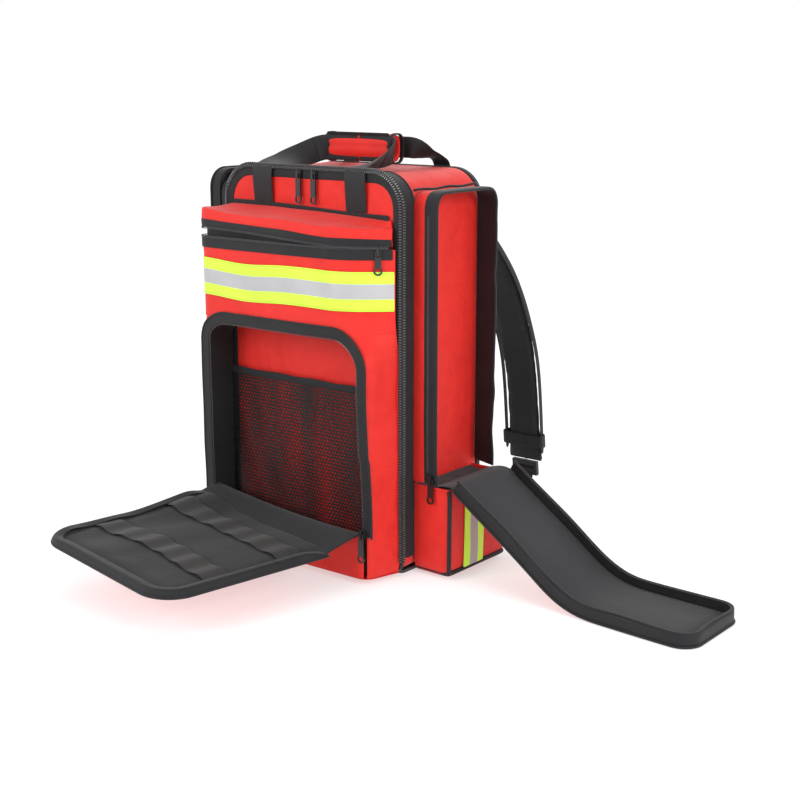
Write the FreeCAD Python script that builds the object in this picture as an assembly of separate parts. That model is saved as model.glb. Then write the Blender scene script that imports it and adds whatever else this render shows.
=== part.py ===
import FreeCAD, Part
import math
import os

V = FreeCAD.Vector

# Trauma backpack standing upright, millimetres, +Z up, door toward -Y.
# ---- main compartment
BODY_W = 300.0        # across, X
BODY_D = 175.0        # front face of the door to the back panel, Y
BODY_H = 520.0        # base to top, Z
TOP_R = 45.0          # corner radius of the shell, upper corners
LOW_R = 18.0          # corner radius of the shell, lower corners
WALL = 4.0            # padded fabric wall
DOOR_T = 8.0          # padded door
BACK_T = 8.0          # padded back panel
TAPE_T = 1.2          # zip tape and edge binding
GAP = 0.4             # clear distance between pieces that move apart
SIDE_TAPE = 18.0      # width of the body half of the main zip band
FRONT_TAPE = 12.0     # width of the door half of the main zip band
# ---- pockets on the door
POCKET_D = 55.0       # how far the pockets stand out of the door
PANEL = 2.5           # single fabric wall
HINGE_Z = 64.0        # fold of the front flap
OPEN_TOP = 318.0      # top of the front pocket opening
OPEN_L = -146.0
OPEN_R = 126.0
OPEN_CORNER = 42.0    # rounded upper corners of that opening
FRAME_W = 9.0         # zip frame round that opening
TRAY_D = 12.0         # depth of the front flap's rim
MESH_TOP = 238.0
TOP_POCKET_LOW = 326.0
TOP_ZIP = 429.0       # zip line of the top pocket
TOP_ZIP_GAP = 8.0
TOP_POCKET_HIGH = 466.0
BAND_H = 50.0         # reflective tape
BAND_TOP = 402.0
FLAP_YAW = -8.0       # how the open front flap lies, degrees
FLAP_ROLL = 3.0
FLAP_PITCH = -0.5
# ---- side pockets
SIDE_OUT = 36.0       # gusset depth
SIDE_TRAY = 20.0      # rim depth of a side flap
SIDE_Y0 = -62.0
SIDE_Y1 = 66.0
SIDE_FOLD = 124.0     # fold of the side flap
SIDE_TOP = 498.0
FLAP_LEN = 390.0      # fold to tip
BEND_AT = 214.0       # fold to the second crease
DROP = 35.0           # slope of the open flap's first part, degrees
# ---- webbing and straps
WEB_W = 38.0
WEB_T = 2.0
LEG_X = 80.0          # centre of each carry loop leg
LEG_OFF = 7.0         # legs stand clear of the door and the top by this much
GRIP_L = 116.0
GRIP_Y = 25.0
GRIP_Z = 544.0
STRAP_X = 75.0
STRAP_W = 66.0
STRAP_T = 12.0
# ---- zip pulls
PULL_L = 38.0
PULL_W = 8.0
PULL_T = 2.0
# ---- base and back padding
LOW = 4.0             # thickness of the base under the shell
PAD_T = 13.0

FRONT = -BODY_D / 2
REAR = BODY_D / 2
HALF = BODY_W / 2
POCKET_Y = FRONT - POCKET_D
SIDE_X = HALF + SIDE_OUT
SKIN_X = SIDE_X + 2.4 + GAP + SIDE_TRAY

PLANES = {
    "xz": (lambda u, v, a: V(u, a, v), V(0, 1, 0)),
    "xy": (lambda u, v, a: V(u, v, a), V(0, 0, 1)),
    "yz": (lambda u, v, a: V(a, u, v), V(1, 0, 0)),
}


def outline(points, plane, at):
    # closed wire through corner points (u, v, radius), corners rounded
    place = PLANES[plane][0]
    edges = []
    n = len(points)
    ends = []
    for i in range(n):
        u, v, r = points[i]
        p = V(u, v, 0)
        a = V(points[i - 1][0], points[i - 1][1], 0) - p
        b = V(points[(i + 1) % n][0], points[(i + 1) % n][1], 0) - p
        a.normalize()
        b.normalize()
        if r < 0.01:
            ends.append((p, None, p))
            continue
        half = math.acos(max(-1.0, min(1.0, a.dot(b)))) / 2
        t = r / math.tan(half)
        mid = a + b
        mid.normalize()
        centre = p + mid * (r / math.sin(half))
        ends.append((p + a * t, centre - mid * r, p + b * t))
    for i in range(n):
        start, middle, stop = ends[i]
        s, e = place(start.x, start.y, at), place(stop.x, stop.y, at)
        if middle is not None:
            edges.append(Part.Arc(s, place(middle.x, middle.y, at), e).toShape())
        nxt = ends[(i + 1) % n][0]
        q = place(nxt.x, nxt.y, at)
        if (q - e).Length > 0.001:
            edges.append(Part.makeLine(e, q))
    return Part.Wire(edges)


def prism(points, plane, a, b):
    pts = [p if len(p) == 3 else (p[0], p[1], 0) for p in points]
    return Part.Face(outline(pts, plane, a)).extrude(PLANES[plane][1] * (b - a))


def box(x0, x1, y0, y1, z0, z1):
    return Part.makeBox(x1 - x0, y1 - y0, z1 - z0, V(x0, y0, z0))


def rect(u0, u1, v0, v1, r_low=0, r_high=0):
    return [(u0, v0, r_low), (u1, v0, r_low), (u1, v1, r_high), (u0, v1, r_high)]


def ribbon(stations, width, thick):
    # strip through stations (centre, width direction, thickness direction)
    wires = []
    for centre, across, through in stations:
        a, t = V(across), V(through)
        a.normalize()
        t.normalize()
        a = a * (width / 2)
        t = t * (thick / 2)
        corners = [centre - a - t, centre + a - t, centre + a + t, centre - a + t]
        wires.append(Part.makePolygon(corners + corners[:1]))
    return Part.makeLoft(wires, True, True)


def strip_yz(path, x, width, thick):
    # ribbon of constant X centre that follows (y, z) points
    stations = []
    for i, (y, z) in enumerate(path):
        y0, z0 = path[max(i - 1, 0)]
        y1, z1 = path[min(i + 1, len(path) - 1)]
        stations.append((V(x, y, z), V(1, 0, 0), V(0, z0 - z1, y1 - y0)))
    return ribbon(stations, width, thick)


def mirrored(shape):
    return shape.mirror(V(0, 0, 0), V(1, 0, 0))


NODES = {}


def add(name, shape):
    NODES[name] = shape.removeSplitter()


def add_pair(name, shape):
    add(name + "_right", shape)
    add(name + "_left", mirrored(shape))


# ---- shell of the main compartment
ring_y0 = FRONT + DOOR_T + GAP
ring_y1 = REAR - BACK_T
edge = HALF - TAPE_T
outer = rect(-edge, edge, LOW, BODY_H - TAPE_T, LOW_R, TOP_R)
inner = rect(-edge + WALL, edge - WALL, LOW + WALL, BODY_H - TAPE_T - WALL, LOW_R - WALL, TOP_R - WALL)
add("body_gusset", prism(outer, "xz", ring_y0, ring_y1).cut(prism(inner, "xz", ring_y0 - 1, ring_y1 + 1)))
add("back_panel", prism(outer, "xz", ring_y1, REAR))
add("base_panel", prism(rect(-edge + 6, edge - 6, ring_y0 + 2, REAR - 2, 8, 8), "xy", 0, LOW))
tape = rect(-HALF, HALF, LOW, BODY_H, LOW_R, TOP_R)
tape_y1 = ring_y0 + SIDE_TAPE
add("body_zip_tape", prism(tape, "xz", ring_y0, tape_y1).cut(prism(outer, "xz", ring_y0 - 1, tape_y1 + 1))
    .cut(box(-HALF - 1, HALF + 1, ring_y0 - 1, tape_y1 + 1, 0, LOW + LOW_R)))
sheet = rect(-edge + WALL + 6, edge - WALL - 6, LOW + WALL + 6, BODY_H - 30, 10, 30)
add("frame_sheet", prism(sheet, "xz", ring_y1 - 2.5, ring_y1))
# ---- back padding, clear of the strap anchors
add_pair("back_pad", prism(rect(24, 134, 50, 440, 26, 26), "xz", REAR, REAR + PAD_T))

# ---- side pocket, right-hand one
base_out = SKIN_X
g_top = SIDE_TOP
wide = rect(SIDE_Y0, SIDE_Y1 + 14, SIDE_FOLD, g_top)
narrow = rect(SIDE_Y0, SIDE_Y1, SIDE_FOLD, g_top)
wide_in = rect(SIDE_Y0 + PANEL, SIDE_Y1 + 14 - PANEL, SIDE_FOLD - 1, g_top - PANEL)
narrow_in = rect(SIDE_Y0 + PANEL, SIDE_Y1 - PANEL, SIDE_FOLD - 1, g_top - PANEL)
g_out = Part.makeLoft([outline(wide, "yz", HALF), outline(narrow, "yz", SIDE_X)], True, True)
g_in = Part.makeLoft([outline(wide_in, "yz", HALF), outline(narrow_in, "yz", SIDE_X)], True, True)
shell = prism(outer, "xz", ring_y0 - 5, REAR + 5)
roof = box(HALF - 9, HALF, SIDE_Y0, SIDE_Y1 + 14, g_top - PANEL, g_top).cut(shell)
add_pair("side_pocket_gusset", g_out.cut(g_in).fuse(roof))
rim = rect(SIDE_Y0, SIDE_Y1, SIDE_FOLD, g_top, 0, 14)
rim_in = rect(SIDE_Y0 + 6, SIDE_Y1 - 6, SIDE_FOLD - 1, g_top - 6, 0, 9)
rim_tape = prism(rim, "yz", SIDE_X, SIDE_X + 2.4).cut(prism(rim_in, "yz", SIDE_X - 1, SIDE_X + 3.4))
add_pair("side_pocket_zip_tape", rim_tape)
bag = rect(SIDE_Y0, SIDE_Y1, 5, SIDE_FOLD - 0.4, 12, 0)
bag_in = rect(SIDE_Y0 + PANEL, SIDE_Y1 - PANEL, 5 + PANEL, SIDE_FOLD + 1, 10, 0)
pouch = prism(bag, "yz", HALF, base_out).cut(prism(bag_in, "yz", HALF - 1, base_out - PANEL))
add_pair("side_pocket_base", pouch)
band = box(base_out, base_out + 0.8, -38, 12, 12, SIDE_FOLD - 6)
add_pair("side_band", band)

# ---- side flap: two trays that fold at a crease, drawn closed, then laid down
tan_half = math.tan(math.radians(DROP / 2))
skin_t = 3.0
flap_y0 = SIDE_Y0 - 2
flap_y1 = SIDE_Y1 + 2


def tray(u0, u1, cut0, cut1, tip):
    # profile in X (depth) and Z (length); ends slope so the folded rims clear
    def slab(depth):
        lo0 = u0 + (depth * tan_half if cut0 else 0)
        hi1 = u1 - (depth * tan_half if cut1 else 0)
        return [(SKIN_X, SIDE_FOLD + u0), (SKIN_X, SIDE_FOLD + u1),
                (SKIN_X - depth, SIDE_FOLD + hi1), (SKIN_X - depth, SIDE_FOLD + lo0)]
    body = prism(slab(SIDE_TRAY), "xz", flap_y0, flap_y1)
    low_in = SIDE_FOLD + u0 - 40
    high_in = SIDE_FOLD + u1 + (40 if not tip else -PANEL)
    r_in = 24 if tip else 0
    hollow = rect(flap_y0 + PANEL, flap_y1 - PANEL, low_in, high_in, 0, r_in)
    body = body.cut(prism(hollow, "yz", SKIN_X - SIDE_TRAY - 1, SKIN_X - skin_t))
    if tip:
        shape = rect(flap_y0, flap_y1, SIDE_FOLD, SIDE_FOLD + u1, 0, 26)
        body = body.common(prism(shape, "yz", 0, SKIN_X + 5))
    return body


upper = tray(1.0, BEND_AT - 0.3, False, True, False)
lower = tray(BEND_AT + 0.3, FLAP_LEN, True, False, True)
add("side_flap_upper_left", mirrored(upper))
add("side_flap_lower_left", mirrored(lower))
crease = V(SKIN_X, 0, SIDE_FOLD + BEND_AT)
fold = V(SKIN_X, 0, SIDE_FOLD)
lower.rotate(crease, V(0, 1, 0), -DROP)
for half in (upper, lower):
    half.rotate(fold, V(0, 1, 0), 90 + DROP)
add("side_flap_upper_right", upper)
add("side_flap_lower_right", lower)

# ---- door and its zip band
door_low = 1.5
leaf = rect(-edge, edge, door_low, BODY_H - TAPE_T, LOW_R, TOP_R)
add("door_panel", prism(leaf, "xz", FRONT, FRONT + DOOR_T))
rim_out = rect(-HALF, HALF, door_low, BODY_H, LOW_R, TOP_R)
inset = rect(-HALF + FRONT_TAPE, HALF - FRONT_TAPE, 0, BODY_H - FRONT_TAPE, 8, TOP_R - FRONT_TAPE)
band = prism(rim_out, "xz", FRONT - TAPE_T, FRONT + DOOR_T)
band = band.cut(prism(leaf, "xz", FRONT, FRONT + DOOR_T + 1)).cut(prism(inset, "xz", FRONT - 2, FRONT + 1))
add("door_zip_tape", band.cut(box(-200, 200, FRONT - 3, FRONT + 9, 0, door_low + LOW_R)))

# ---- lower front pocket on the door
pocket_out = [(-HALF, FRONT, 0), (-HALF, POCKET_Y, 14), (136, POCKET_Y, 16), (137, FRONT, 0)]
walls = prism(pocket_out, "xy", 6, OPEN_TOP + FRAME_W)
cell = [(-HALF + PANEL, FRONT + 1, 0), (-HALF + PANEL, POCKET_Y + PANEL, 11)]
cell += [(136 - PANEL, POCKET_Y + PANEL, 13), (137 - PANEL, FRONT + 1, 0)]
walls = walls.cut(prism(cell, "xy", 6 + PANEL, OPEN_TOP + FRAME_W - PANEL))
mouth = rect(OPEN_L, OPEN_R, HINGE_Z - 2, OPEN_TOP, 0, OPEN_CORNER)
walls = walls.cut(prism(mouth, "xz", POCKET_Y - 1, POCKET_Y + PANEL + 1))
lead = FRONT - TAPE_T - GAP
add("front_pocket_shell", walls.cut(box(-HALF - 1, HALF + 1, lead, FRONT + 2, 0, 400)))
frame_out = rect(OPEN_L - 3.5, OPEN_R + FRAME_W, HINGE_Z - 2, OPEN_TOP + FRAME_W - 1, 0, OPEN_CORNER + 6)
frame = prism(frame_out, "xz", POCKET_Y - TAPE_T, POCKET_Y)
frame = frame.cut(prism(mouth, "xz", POCKET_Y - 3, POCKET_Y + 1))
add("front_pocket_zip_tape", frame.cut(box(-200, 200, POCKET_Y - 3, POCKET_Y + 1, 0, HINGE_Z)))
mesh_y = FRONT - 8
mesh = box(-HALF + PANEL + 3, 136 - PANEL - 3, mesh_y, mesh_y + 1.2, 12, MESH_TOP)
mesh_bottom = box(-HALF + PANEL + 3, 136 - PANEL - 3, mesh_y + 1.2, lead, 12, 14)
sides = box(-HALF + PANEL + 3, -HALF + PANEL + 5, mesh_y + 1.2, lead, 14, MESH_TOP)
sides = sides.fuse(box(136 - PANEL - 5, 136 - PANEL - 3, mesh_y + 1.2, lead, 14, MESH_TOP))
add("mesh_pocket", mesh.fuse(mesh_bottom).fuse(sides))
rim_box = box(-HALF + PANEL + 3, 136 - PANEL - 3, mesh_y - 1, mesh_y + 2, MESH_TOP, MESH_TOP + 9)
add("mesh_pocket_binding", rim_box)

# ---- top pocket on the door: deep at the left, running out at the right
plan = [(-HALF, FRONT, 0), (-HALF, POCKET_Y, 14), (72, POCKET_Y, 30)]
plan += [(HALF - 13, FRONT - 10, 0), (HALF - 13, FRONT, 0)]
plan_in = [(-HALF + PANEL, FRONT + 1, 0), (-HALF + PANEL, POCKET_Y + PANEL, 11)]
plan_in += [(71, POCKET_Y + PANEL, 28)]
plan_in += [(HALF - 13 - PANEL, FRONT - 9, 0), (HALF - 13 - PANEL, FRONT + 1, 0)]


def pocket_part(z0, z1, in0, in1):
    part = prism(plan, "xy", z0, z1).cut(prism(plan_in, "xy", in0, in1))
    return part.cut(box(-HALF - 1, HALF + 1, lead, FRONT + 2, 0, 600))


low_part = pocket_part(TOP_POCKET_LOW + 1.5, TOP_ZIP, TOP_POCKET_LOW + 1.5 + PANEL, TOP_ZIP + 1)
lip_low = TOP_ZIP + TOP_ZIP_GAP
tape_w = 13.0
add("top_pocket_shell", low_part)
add("top_pocket_lip", pocket_part(lip_low, TOP_POCKET_HIGH, lip_low - 1, TOP_POCKET_HIGH - PANEL))


def around(z0, z1, grow):
    # thin band that follows the pocket's plan on the outside
    big = [(-HALF - grow, FRONT, 0), (-HALF - grow, POCKET_Y - grow, 14 + grow)]
    big += [(72 + grow * 0.28, POCKET_Y - grow, 30 + grow)]
    big += [(HALF - 13 + grow, FRONT - 10, 0), (HALF - 13 + grow, FRONT, 0)]
    ring = prism(big, "xy", z0, z1).cut(prism(plan, "xy", z0 - 1, z1 + 1))
    return ring.cut(box(-HALF - 9, HALF + 9, lead - 8, FRONT + 2, 0, 600))


add("top_pocket_zip_low", around(TOP_ZIP - tape_w, TOP_ZIP, 1.2))
add("top_pocket_zip_high", around(lip_low, lip_low + tape_w, 1.2))
add("front_band", around(BAND_TOP - BAND_H, BAND_TOP, 0.8))
piping = rect(-HALF + 14, HALF - 14, lead - 1.6, lead, 0, 0)
piping = prism(piping, "xy", TOP_POCKET_HIGH + 0.6, TOP_POCKET_HIGH + 10)
add("top_pocket_binding", piping)

# ---- front flap, drawn closed, then laid down in front
flap_w = OPEN_R - OPEN_L
flap_l = OPEN_TOP - HINGE_Z
skin_y = POCKET_Y - TAPE_T - GAP - TRAY_D
lid = rect(OPEN_L + 0.6, OPEN_R - 0.6, HINGE_Z + 1, OPEN_TOP, 0, OPEN_CORNER)
lid_in = rect(OPEN_L + 0.6 + PANEL, OPEN_R - 0.6 - PANEL, HINGE_Z - 9, OPEN_TOP - PANEL,
              0, OPEN_CORNER - PANEL)
panel = prism(lid, "xz", skin_y, skin_y + 4)
lid_rim = prism(lid, "xz", skin_y + 4, skin_y + TRAY_D)
lid_rim = lid_rim.cut(prism(lid_in, "xz", skin_y + 3, skin_y + TRAY_D + 1))
rows = []
for row_z in (HINGE_Z + 62, HINGE_Z + 172):
    base = box(OPEN_L + 12, OPEN_R - 14, skin_y + 4, skin_y + 5.4, row_z, row_z + 38)
    loops = base
    count = 6
    pitch = (flap_w - 34) / count
    for i in range(count):
        x0 = OPEN_L + 16 + i * pitch
        loops = loops.fuse(box(x0, x0 + 1.2, skin_y + 5.4, skin_y + 9, row_z + 2, row_z + 36))
        x1 = x0 + pitch - 3
        loops = loops.fuse(box(x1 - 1.2, x1, skin_y + 5.4, skin_y + 9, row_z + 2, row_z + 36))
        loops = loops.fuse(box(x0, x0 + pitch - 3, skin_y + 8, skin_y + 9.2, row_z + 2, row_z + 36))
    rows.append(loops)
yaw = math.radians(FLAP_YAW)
roll = math.radians(FLAP_ROLL)
dip = math.radians(FLAP_PITCH)
along = V(math.sin(yaw) * math.cos(dip), -math.cos(yaw) * math.cos(dip), -math.sin(dip))
flat = V(math.cos(yaw), math.sin(yaw), 0)
under = flat.cross(along)
across = flat * math.cos(roll) + under * math.sin(roll)
skin = across.cross(along)
pivot = V(OPEN_L, skin_y, HINGE_Z)
# columns carry closed X, Y, Z to the open pose; closed skin faces -Y
turn = FreeCAD.Matrix(across.x, -skin.x, along.x, 0, across.y, -skin.y, along.y, 0,
                      across.z, -skin.z, along.z, 0, 0, 0, 0, 1)
spin = FreeCAD.Placement(turn).Rotation
FLAP_AXIS = spin.Axis
FLAP_ANGLE = math.degrees(spin.Angle)
for shape in [panel, lid_rim] + rows:
    shape.rotate(pivot, FLAP_AXIS, FLAP_ANGLE)
add("front_flap_panel", panel)
add("front_flap_rim", lid_rim)
add("elastic_row_inner", rows[0])
add("elastic_row_outer", rows[1])

# ---- carry loops and grip
top_clear = BODY_H + LEG_OFF
leg_y = FRONT - TAPE_T - LEG_OFF
front_path = [V(LEG_X, FRONT - TAPE_T - WEB_T / 2 - 0.1, TOP_POCKET_HIGH + 14),
              V(LEG_X, leg_y, BODY_H - 36), V(LEG_X, leg_y, BODY_H - 6),
              V(LEG_X - 4, leg_y + 9, top_clear), V(GRIP_L / 2 + 11, GRIP_Y - 12, GRIP_Z)]
side = V(1, 0, 0)
front_stations = [(front_path[0], side, V(0, 1, -0.2)), (front_path[1], side, V(0, 1, -0.2)),
                  (front_path[2], side, V(0, 1, -0.2)), (front_path[3], side, V(0, 0.6, -1)),
                  (front_path[4], V(0.1, 0.1, 1.0), V(1, 0.3, -0.13))]
leg = ribbon(front_stations, WEB_W, WEB_T)
anchor = box(LEG_X - WEB_W / 2, LEG_X + WEB_W / 2, FRONT - TAPE_T - WEB_T, FRONT - TAPE_T - 0.1,
             TOP_POCKET_HIGH + 10.5, TOP_POCKET_HIGH + 22)
core = box(-GRIP_L / 2 - 10, GRIP_L / 2 + 10, GRIP_Y - 13, GRIP_Y - 10.5, GRIP_Z - 10, GRIP_Z + 10)
front_leg = leg.fuse(anchor)
add("front_carry_loop", front_leg.fuse(mirrored(front_leg)).fuse(core))
back_path = [(V(LEG_X, REAR + 1.2, BODY_H - 60), side, V(0, 1, 0)),
             (V(LEG_X, REAR + 1.2, BODY_H + 2), side, V(0, 1, 0)),
             (V(LEG_X, REAR - 5, BODY_H + 11), side, V(0, 0.8, 0.6)),
             (V(GRIP_L / 2 + 12, GRIP_Y + 16, GRIP_Z), V(0, -0.1, 1.0), V(-1, -0.4, 0))]
rear_leg = ribbon(back_path, WEB_W - 8, WEB_T)
rear_core = box(-GRIP_L / 2 - 13, GRIP_L / 2 + 13, GRIP_Y + 14, GRIP_Y + 16.5, GRIP_Z - 14, GRIP_Z + 14)
add("rear_carry_loop", rear_leg.fuse(mirrored(rear_leg)).fuse(rear_core))
wrap_o = rect(GRIP_Y - 20, GRIP_Y + 11, GRIP_Z - 21, GRIP_Z + 21, 12, 12)
wrap_i = rect(GRIP_Y - 14, GRIP_Y + 5, GRIP_Z - 16, GRIP_Z + 16, 7, 7)
wrap = prism(wrap_o, "yz", -GRIP_L / 2, GRIP_L / 2).cut(prism(wrap_i, "yz", -GRIP_L / 2 - 1, GRIP_L / 2 + 1))
add("handle_wrap", wrap)

# ---- shoulder straps, drawn in the arc they hang in
pad_path = [(REAR + 5, 466), (REAR + 42, 452), (180, 410), (232, 352), (272, 280), (298, 200), (314, 60)]
add_pair("shoulder_strap", strip_yz(pad_path, STRAP_X, STRAP_W, STRAP_T))
slope = V(0, 314 - 298, 60 - 200)
slope.normalize()
cross = V(0, -slope.z, slope.y)


def on_strap(distance, lift):
    # point on the straight lower run, measured up from its end
    return V(STRAP_X, 314, 60) - slope * distance + cross * lift


hole = ribbon([(on_strap(24, 0), side, cross), (on_strap(46, 0), side, cross)], STRAP_W + 2, STRAP_T + 2)
cuff = ribbon([(on_strap(25, 0), side, cross), (on_strap(45, 0), side, cross)], STRAP_W + 6, STRAP_T + 6)
add_pair("strap_keeper", cuff.cut(hole))
lock = ribbon([(on_strap(0, 0), side, cross), (on_strap(-22, 0), side, cross)], 44, 6)
slot = ribbon([(on_strap(-7, 0), side, cross), (on_strap(-12, 0), side, cross)], 34, 8)
add_pair("ladder_lock", lock.cut(slot))
end = on_strap(-22, 0)
tail = [(end.y, end.z - 1.2), (end.y - 8, end.z - 12), (end.y - 40, end.z - 14), (150, 26), (REAR + 1, 22)]
add_pair("lower_webbing", strip_yz(tail, STRAP_X, 30, WEB_T))

# ---- zip sliders and their pulls
def slider_and_pull(size, origin, normal, down):
    # slider block on the coil with a bridge; the bar of the pull turns under the bridge
    s = V(down).cross(V(normal))
    o = V(origin)

    def block(a0, a1, n0, n1, d0, d1):
        pts = [o + s * a + normal * n0 + down * d for a, d in ((a0, d0), (a1, d0), (a1, d1), (a0, d1))]
        return Part.Face(Part.makePolygon(pts + pts[:1])).extrude(normal * (n1 - n0))
    base = block(-4.5, 4.5, 0.3, 2.6, -6, 6)
    bridge = block(-1.5, 1.5, 6.0, 7.2, -5.6, 5.6)
    for d in (-5.6, 4.2):
        bridge = bridge.fuse(block(-1.5, 1.5, 2.6, 6.2, d, d + 1.4))
    pivot_at = o + normal * 4.4
    pull = Part.makeCylinder(0.9, 7.2, pivot_at - s * 3.6, s)
    for a in (-3.6, 2.1):
        pull = pull.fuse(block(a, a + 1.5, 3.4, 3.4 + PULL_T, -0.9, 7.5))
    pull = pull.fuse(block(-PULL_W / 2, PULL_W / 2, 3.4, 3.4 + PULL_T, 7.0, size - 7))
    ring = Part.makeCylinder(5.6, PULL_T, o + normal * 3.4 + down * (size - 5.6), normal)
    eye = Part.makeCylinder(3.6, PULL_T + 2, o + normal * 2.4 + down * (size - 5.6), normal)
    return base.fuse(bridge), pull.fuse(ring).cut(eye)


DOWN = V(0, 0, -1)
OUT = V(0, -1, 0)
facet = V(HALF - 13 - 72, FRONT - 10 - POCKET_Y, 0)
facet.normalize()
facet_out = V(facet.y, -facet.x, 0)
top_slider_at = V(HALF - 13, FRONT - 10, TOP_ZIP - 3) - facet * 12 + facet_out * 1.2
SLIDERS = [
    ("main_left", V(-16, FRONT - TAPE_T, BODY_H - 6), OUT, DOWN, PULL_L),
    ("main_right", V(10, FRONT - TAPE_T, BODY_H - 6), OUT, DOWN, PULL_L),
    ("top_pocket", top_slider_at, facet_out, DOWN, 30.0),
    ("front_right", V(OPEN_R + 6.5, POCKET_Y - TAPE_T, HINGE_Z + 6), OUT, DOWN, PULL_L),
    ("front_left", V(OPEN_L - 6.5, POCKET_Y - TAPE_T, HINGE_Z + 6), OUT, DOWN, 30.0),
    ("side_right", V(SIDE_X - 5, SIDE_Y0, SIDE_FOLD + 8), OUT, DOWN, 32.0),
    ("side_left", V(-SIDE_X + 5, SIDE_Y0, SIDE_FOLD + 8), OUT, DOWN, 32.0),
]
for name, at, normal, down, size in SLIDERS:
    block_shape, pull_shape = slider_and_pull(size, at, normal, down)
    add("slider_" + name, block_shape)
    add("pull_" + name, pull_shape)

os.makedirs("parts", exist_ok=True)
for name in sorted(NODES):
    NODES[name].exportStep("parts/" + name + ".step")
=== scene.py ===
import math
import bpy
import bmesh
from mathutils import Matrix, Vector, noise


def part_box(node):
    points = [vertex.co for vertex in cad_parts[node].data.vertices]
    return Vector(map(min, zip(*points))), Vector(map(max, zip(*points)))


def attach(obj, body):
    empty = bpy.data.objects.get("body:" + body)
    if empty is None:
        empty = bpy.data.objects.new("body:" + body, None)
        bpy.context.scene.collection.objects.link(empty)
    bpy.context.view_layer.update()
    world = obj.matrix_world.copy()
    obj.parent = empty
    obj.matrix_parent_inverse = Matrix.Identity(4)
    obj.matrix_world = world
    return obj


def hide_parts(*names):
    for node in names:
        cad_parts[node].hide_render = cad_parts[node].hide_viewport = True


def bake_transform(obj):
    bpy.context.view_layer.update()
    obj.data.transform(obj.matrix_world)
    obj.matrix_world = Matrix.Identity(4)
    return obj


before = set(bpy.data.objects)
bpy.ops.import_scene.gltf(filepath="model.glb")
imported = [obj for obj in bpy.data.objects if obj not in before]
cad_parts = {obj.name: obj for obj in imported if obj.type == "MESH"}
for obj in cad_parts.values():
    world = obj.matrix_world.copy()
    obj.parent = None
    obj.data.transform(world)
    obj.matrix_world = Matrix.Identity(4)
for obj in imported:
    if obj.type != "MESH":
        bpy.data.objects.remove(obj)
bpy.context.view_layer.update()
scene = bpy.context.scene
mm = 0.001

# ---- Camera and studio
# A standing pack seen from its front right and a little above, on a pale floor
# in soft light from above, from both sides and from the sky.
eye = bpy.data.objects.new("camera", bpy.data.cameras.new("camera"))
eye.data.lens = 64.2
eye.location = (1.2458, -1.4661, 0.6439)
eye.rotation_euler = (math.radians(77.0), 0, math.radians(38.53))
eye.data.clip_end = 100
scene.collection.objects.link(eye)
scene.camera = eye
scene.view_settings.view_transform = "Standard"
scene.world = bpy.data.worlds.new("sky")
scene.world.use_nodes = True
scene.world.node_tree.nodes["Background"].inputs[0].default_value = (1, 1, 1, 1)
scene.world.node_tree.nodes["Background"].inputs[1].default_value = 1.0
for lamp_name, place, size, power in (
    ("key", (-0.6, -2.6, 1.4), 1.3, 38),
    ("side", (2.6, -0.5, 1.2), 1.1, 38),
    ("back", (-0.6, 2.2, 2.2), 1.6, 10),
):
    lamp = bpy.data.lights.new(lamp_name, "AREA")
    lamp.size = size
    lamp.energy = power
    lamp_object = bpy.data.objects.new(lamp_name, lamp)
    lamp_object.location = place
    aim = Vector((0.05, -0.05, 0.25)) - Vector(place)
    lamp_object.rotation_euler = aim.to_track_quat("-Z", "Y").to_euler()
    scene.collection.objects.link(lamp_object)


# ---- Shell of the main compartment
# A band of padded red nylon sewn to the back panel: both sides, top and floor,
# stiff foam inside, so it bows only a little and wrinkles where the pockets pull.


class Thread:
    """One shader socket that can be added to, multiplied and compared."""

    def __init__(self, tree, socket=None):
        self.tree = tree
        self.socket = socket

    def node(self, kind, settings=None, sockets=None, out=0):
        made = self.tree.nodes.new(kind)
        for key, value in (settings or {}).items():
            if key == "stops":
                for _ in value[2:]:
                    made.color_ramp.elements.new(0.5)
                for element, (at, colour) in zip(made.color_ramp.elements, value):
                    element.position = at
                    element.color = colour
            else:
                setattr(made, key, value)
        for key, value in (sockets or {}).items():
            if isinstance(value, Thread):
                self.tree.links.new(value.socket, made.inputs[key])
            else:
                made.inputs[key].default_value = value
        return Thread(self.tree, made.outputs[out])

    def math(self, operation, *values):
        return self.node("ShaderNodeMath", {"operation": operation}, dict(enumerate(values)))

    def __add__(self, other):
        return self.math("ADD", self, other)

    def __sub__(self, other):
        return self.math("SUBTRACT", self, other)

    def __rsub__(self, other):
        return self.math("SUBTRACT", other, self)

    def __mul__(self, other):
        return self.math("MULTIPLY", self, other)

    def __gt__(self, other):
        return self.math("GREATER_THAN", self, other)

    def __lt__(self, other):
        return self.math("LESS_THAN", self, other)

    __radd__ = __add__
    __rmul__ = __mul__

    def sin(self):
        return self.math("SINE", self)

    def fract(self):
        return self.math("FRACT", self)

    def size(self):
        return self.math("ABSOLUTE", self)


def new_material(name, roughness, metallic=0.0, sheen=0.0, coat=0.0):
    # the material, its main shader node and a thread to start expressions from
    made = bpy.data.materials.new(name)
    made.use_nodes = True
    shader = made.node_tree.nodes["Principled BSDF"]
    shader.inputs["Roughness"].default_value = roughness
    shader.inputs["Metallic"].default_value = metallic
    shader.inputs["Sheen Weight"].default_value = sheen
    shader.inputs["Specular IOR Level"].default_value = 0.22 if metallic == 0 and coat == 0 else 0.5
    shader.inputs["Coat Weight"].default_value = coat
    return made, shader, Thread(made.node_tree)


def feed(start, shader, socket, value):
    start.tree.links.new(value.socket, shader.inputs[socket])


def shade_colour(start, shader, low, high, factor):
    mixed = start.node("ShaderNodeMix", {"data_type": "RGBA"}, {0: factor, 6: low, 7: high}, out=2)
    feed(start, shader, "Base Color", mixed)
    return mixed


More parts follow.
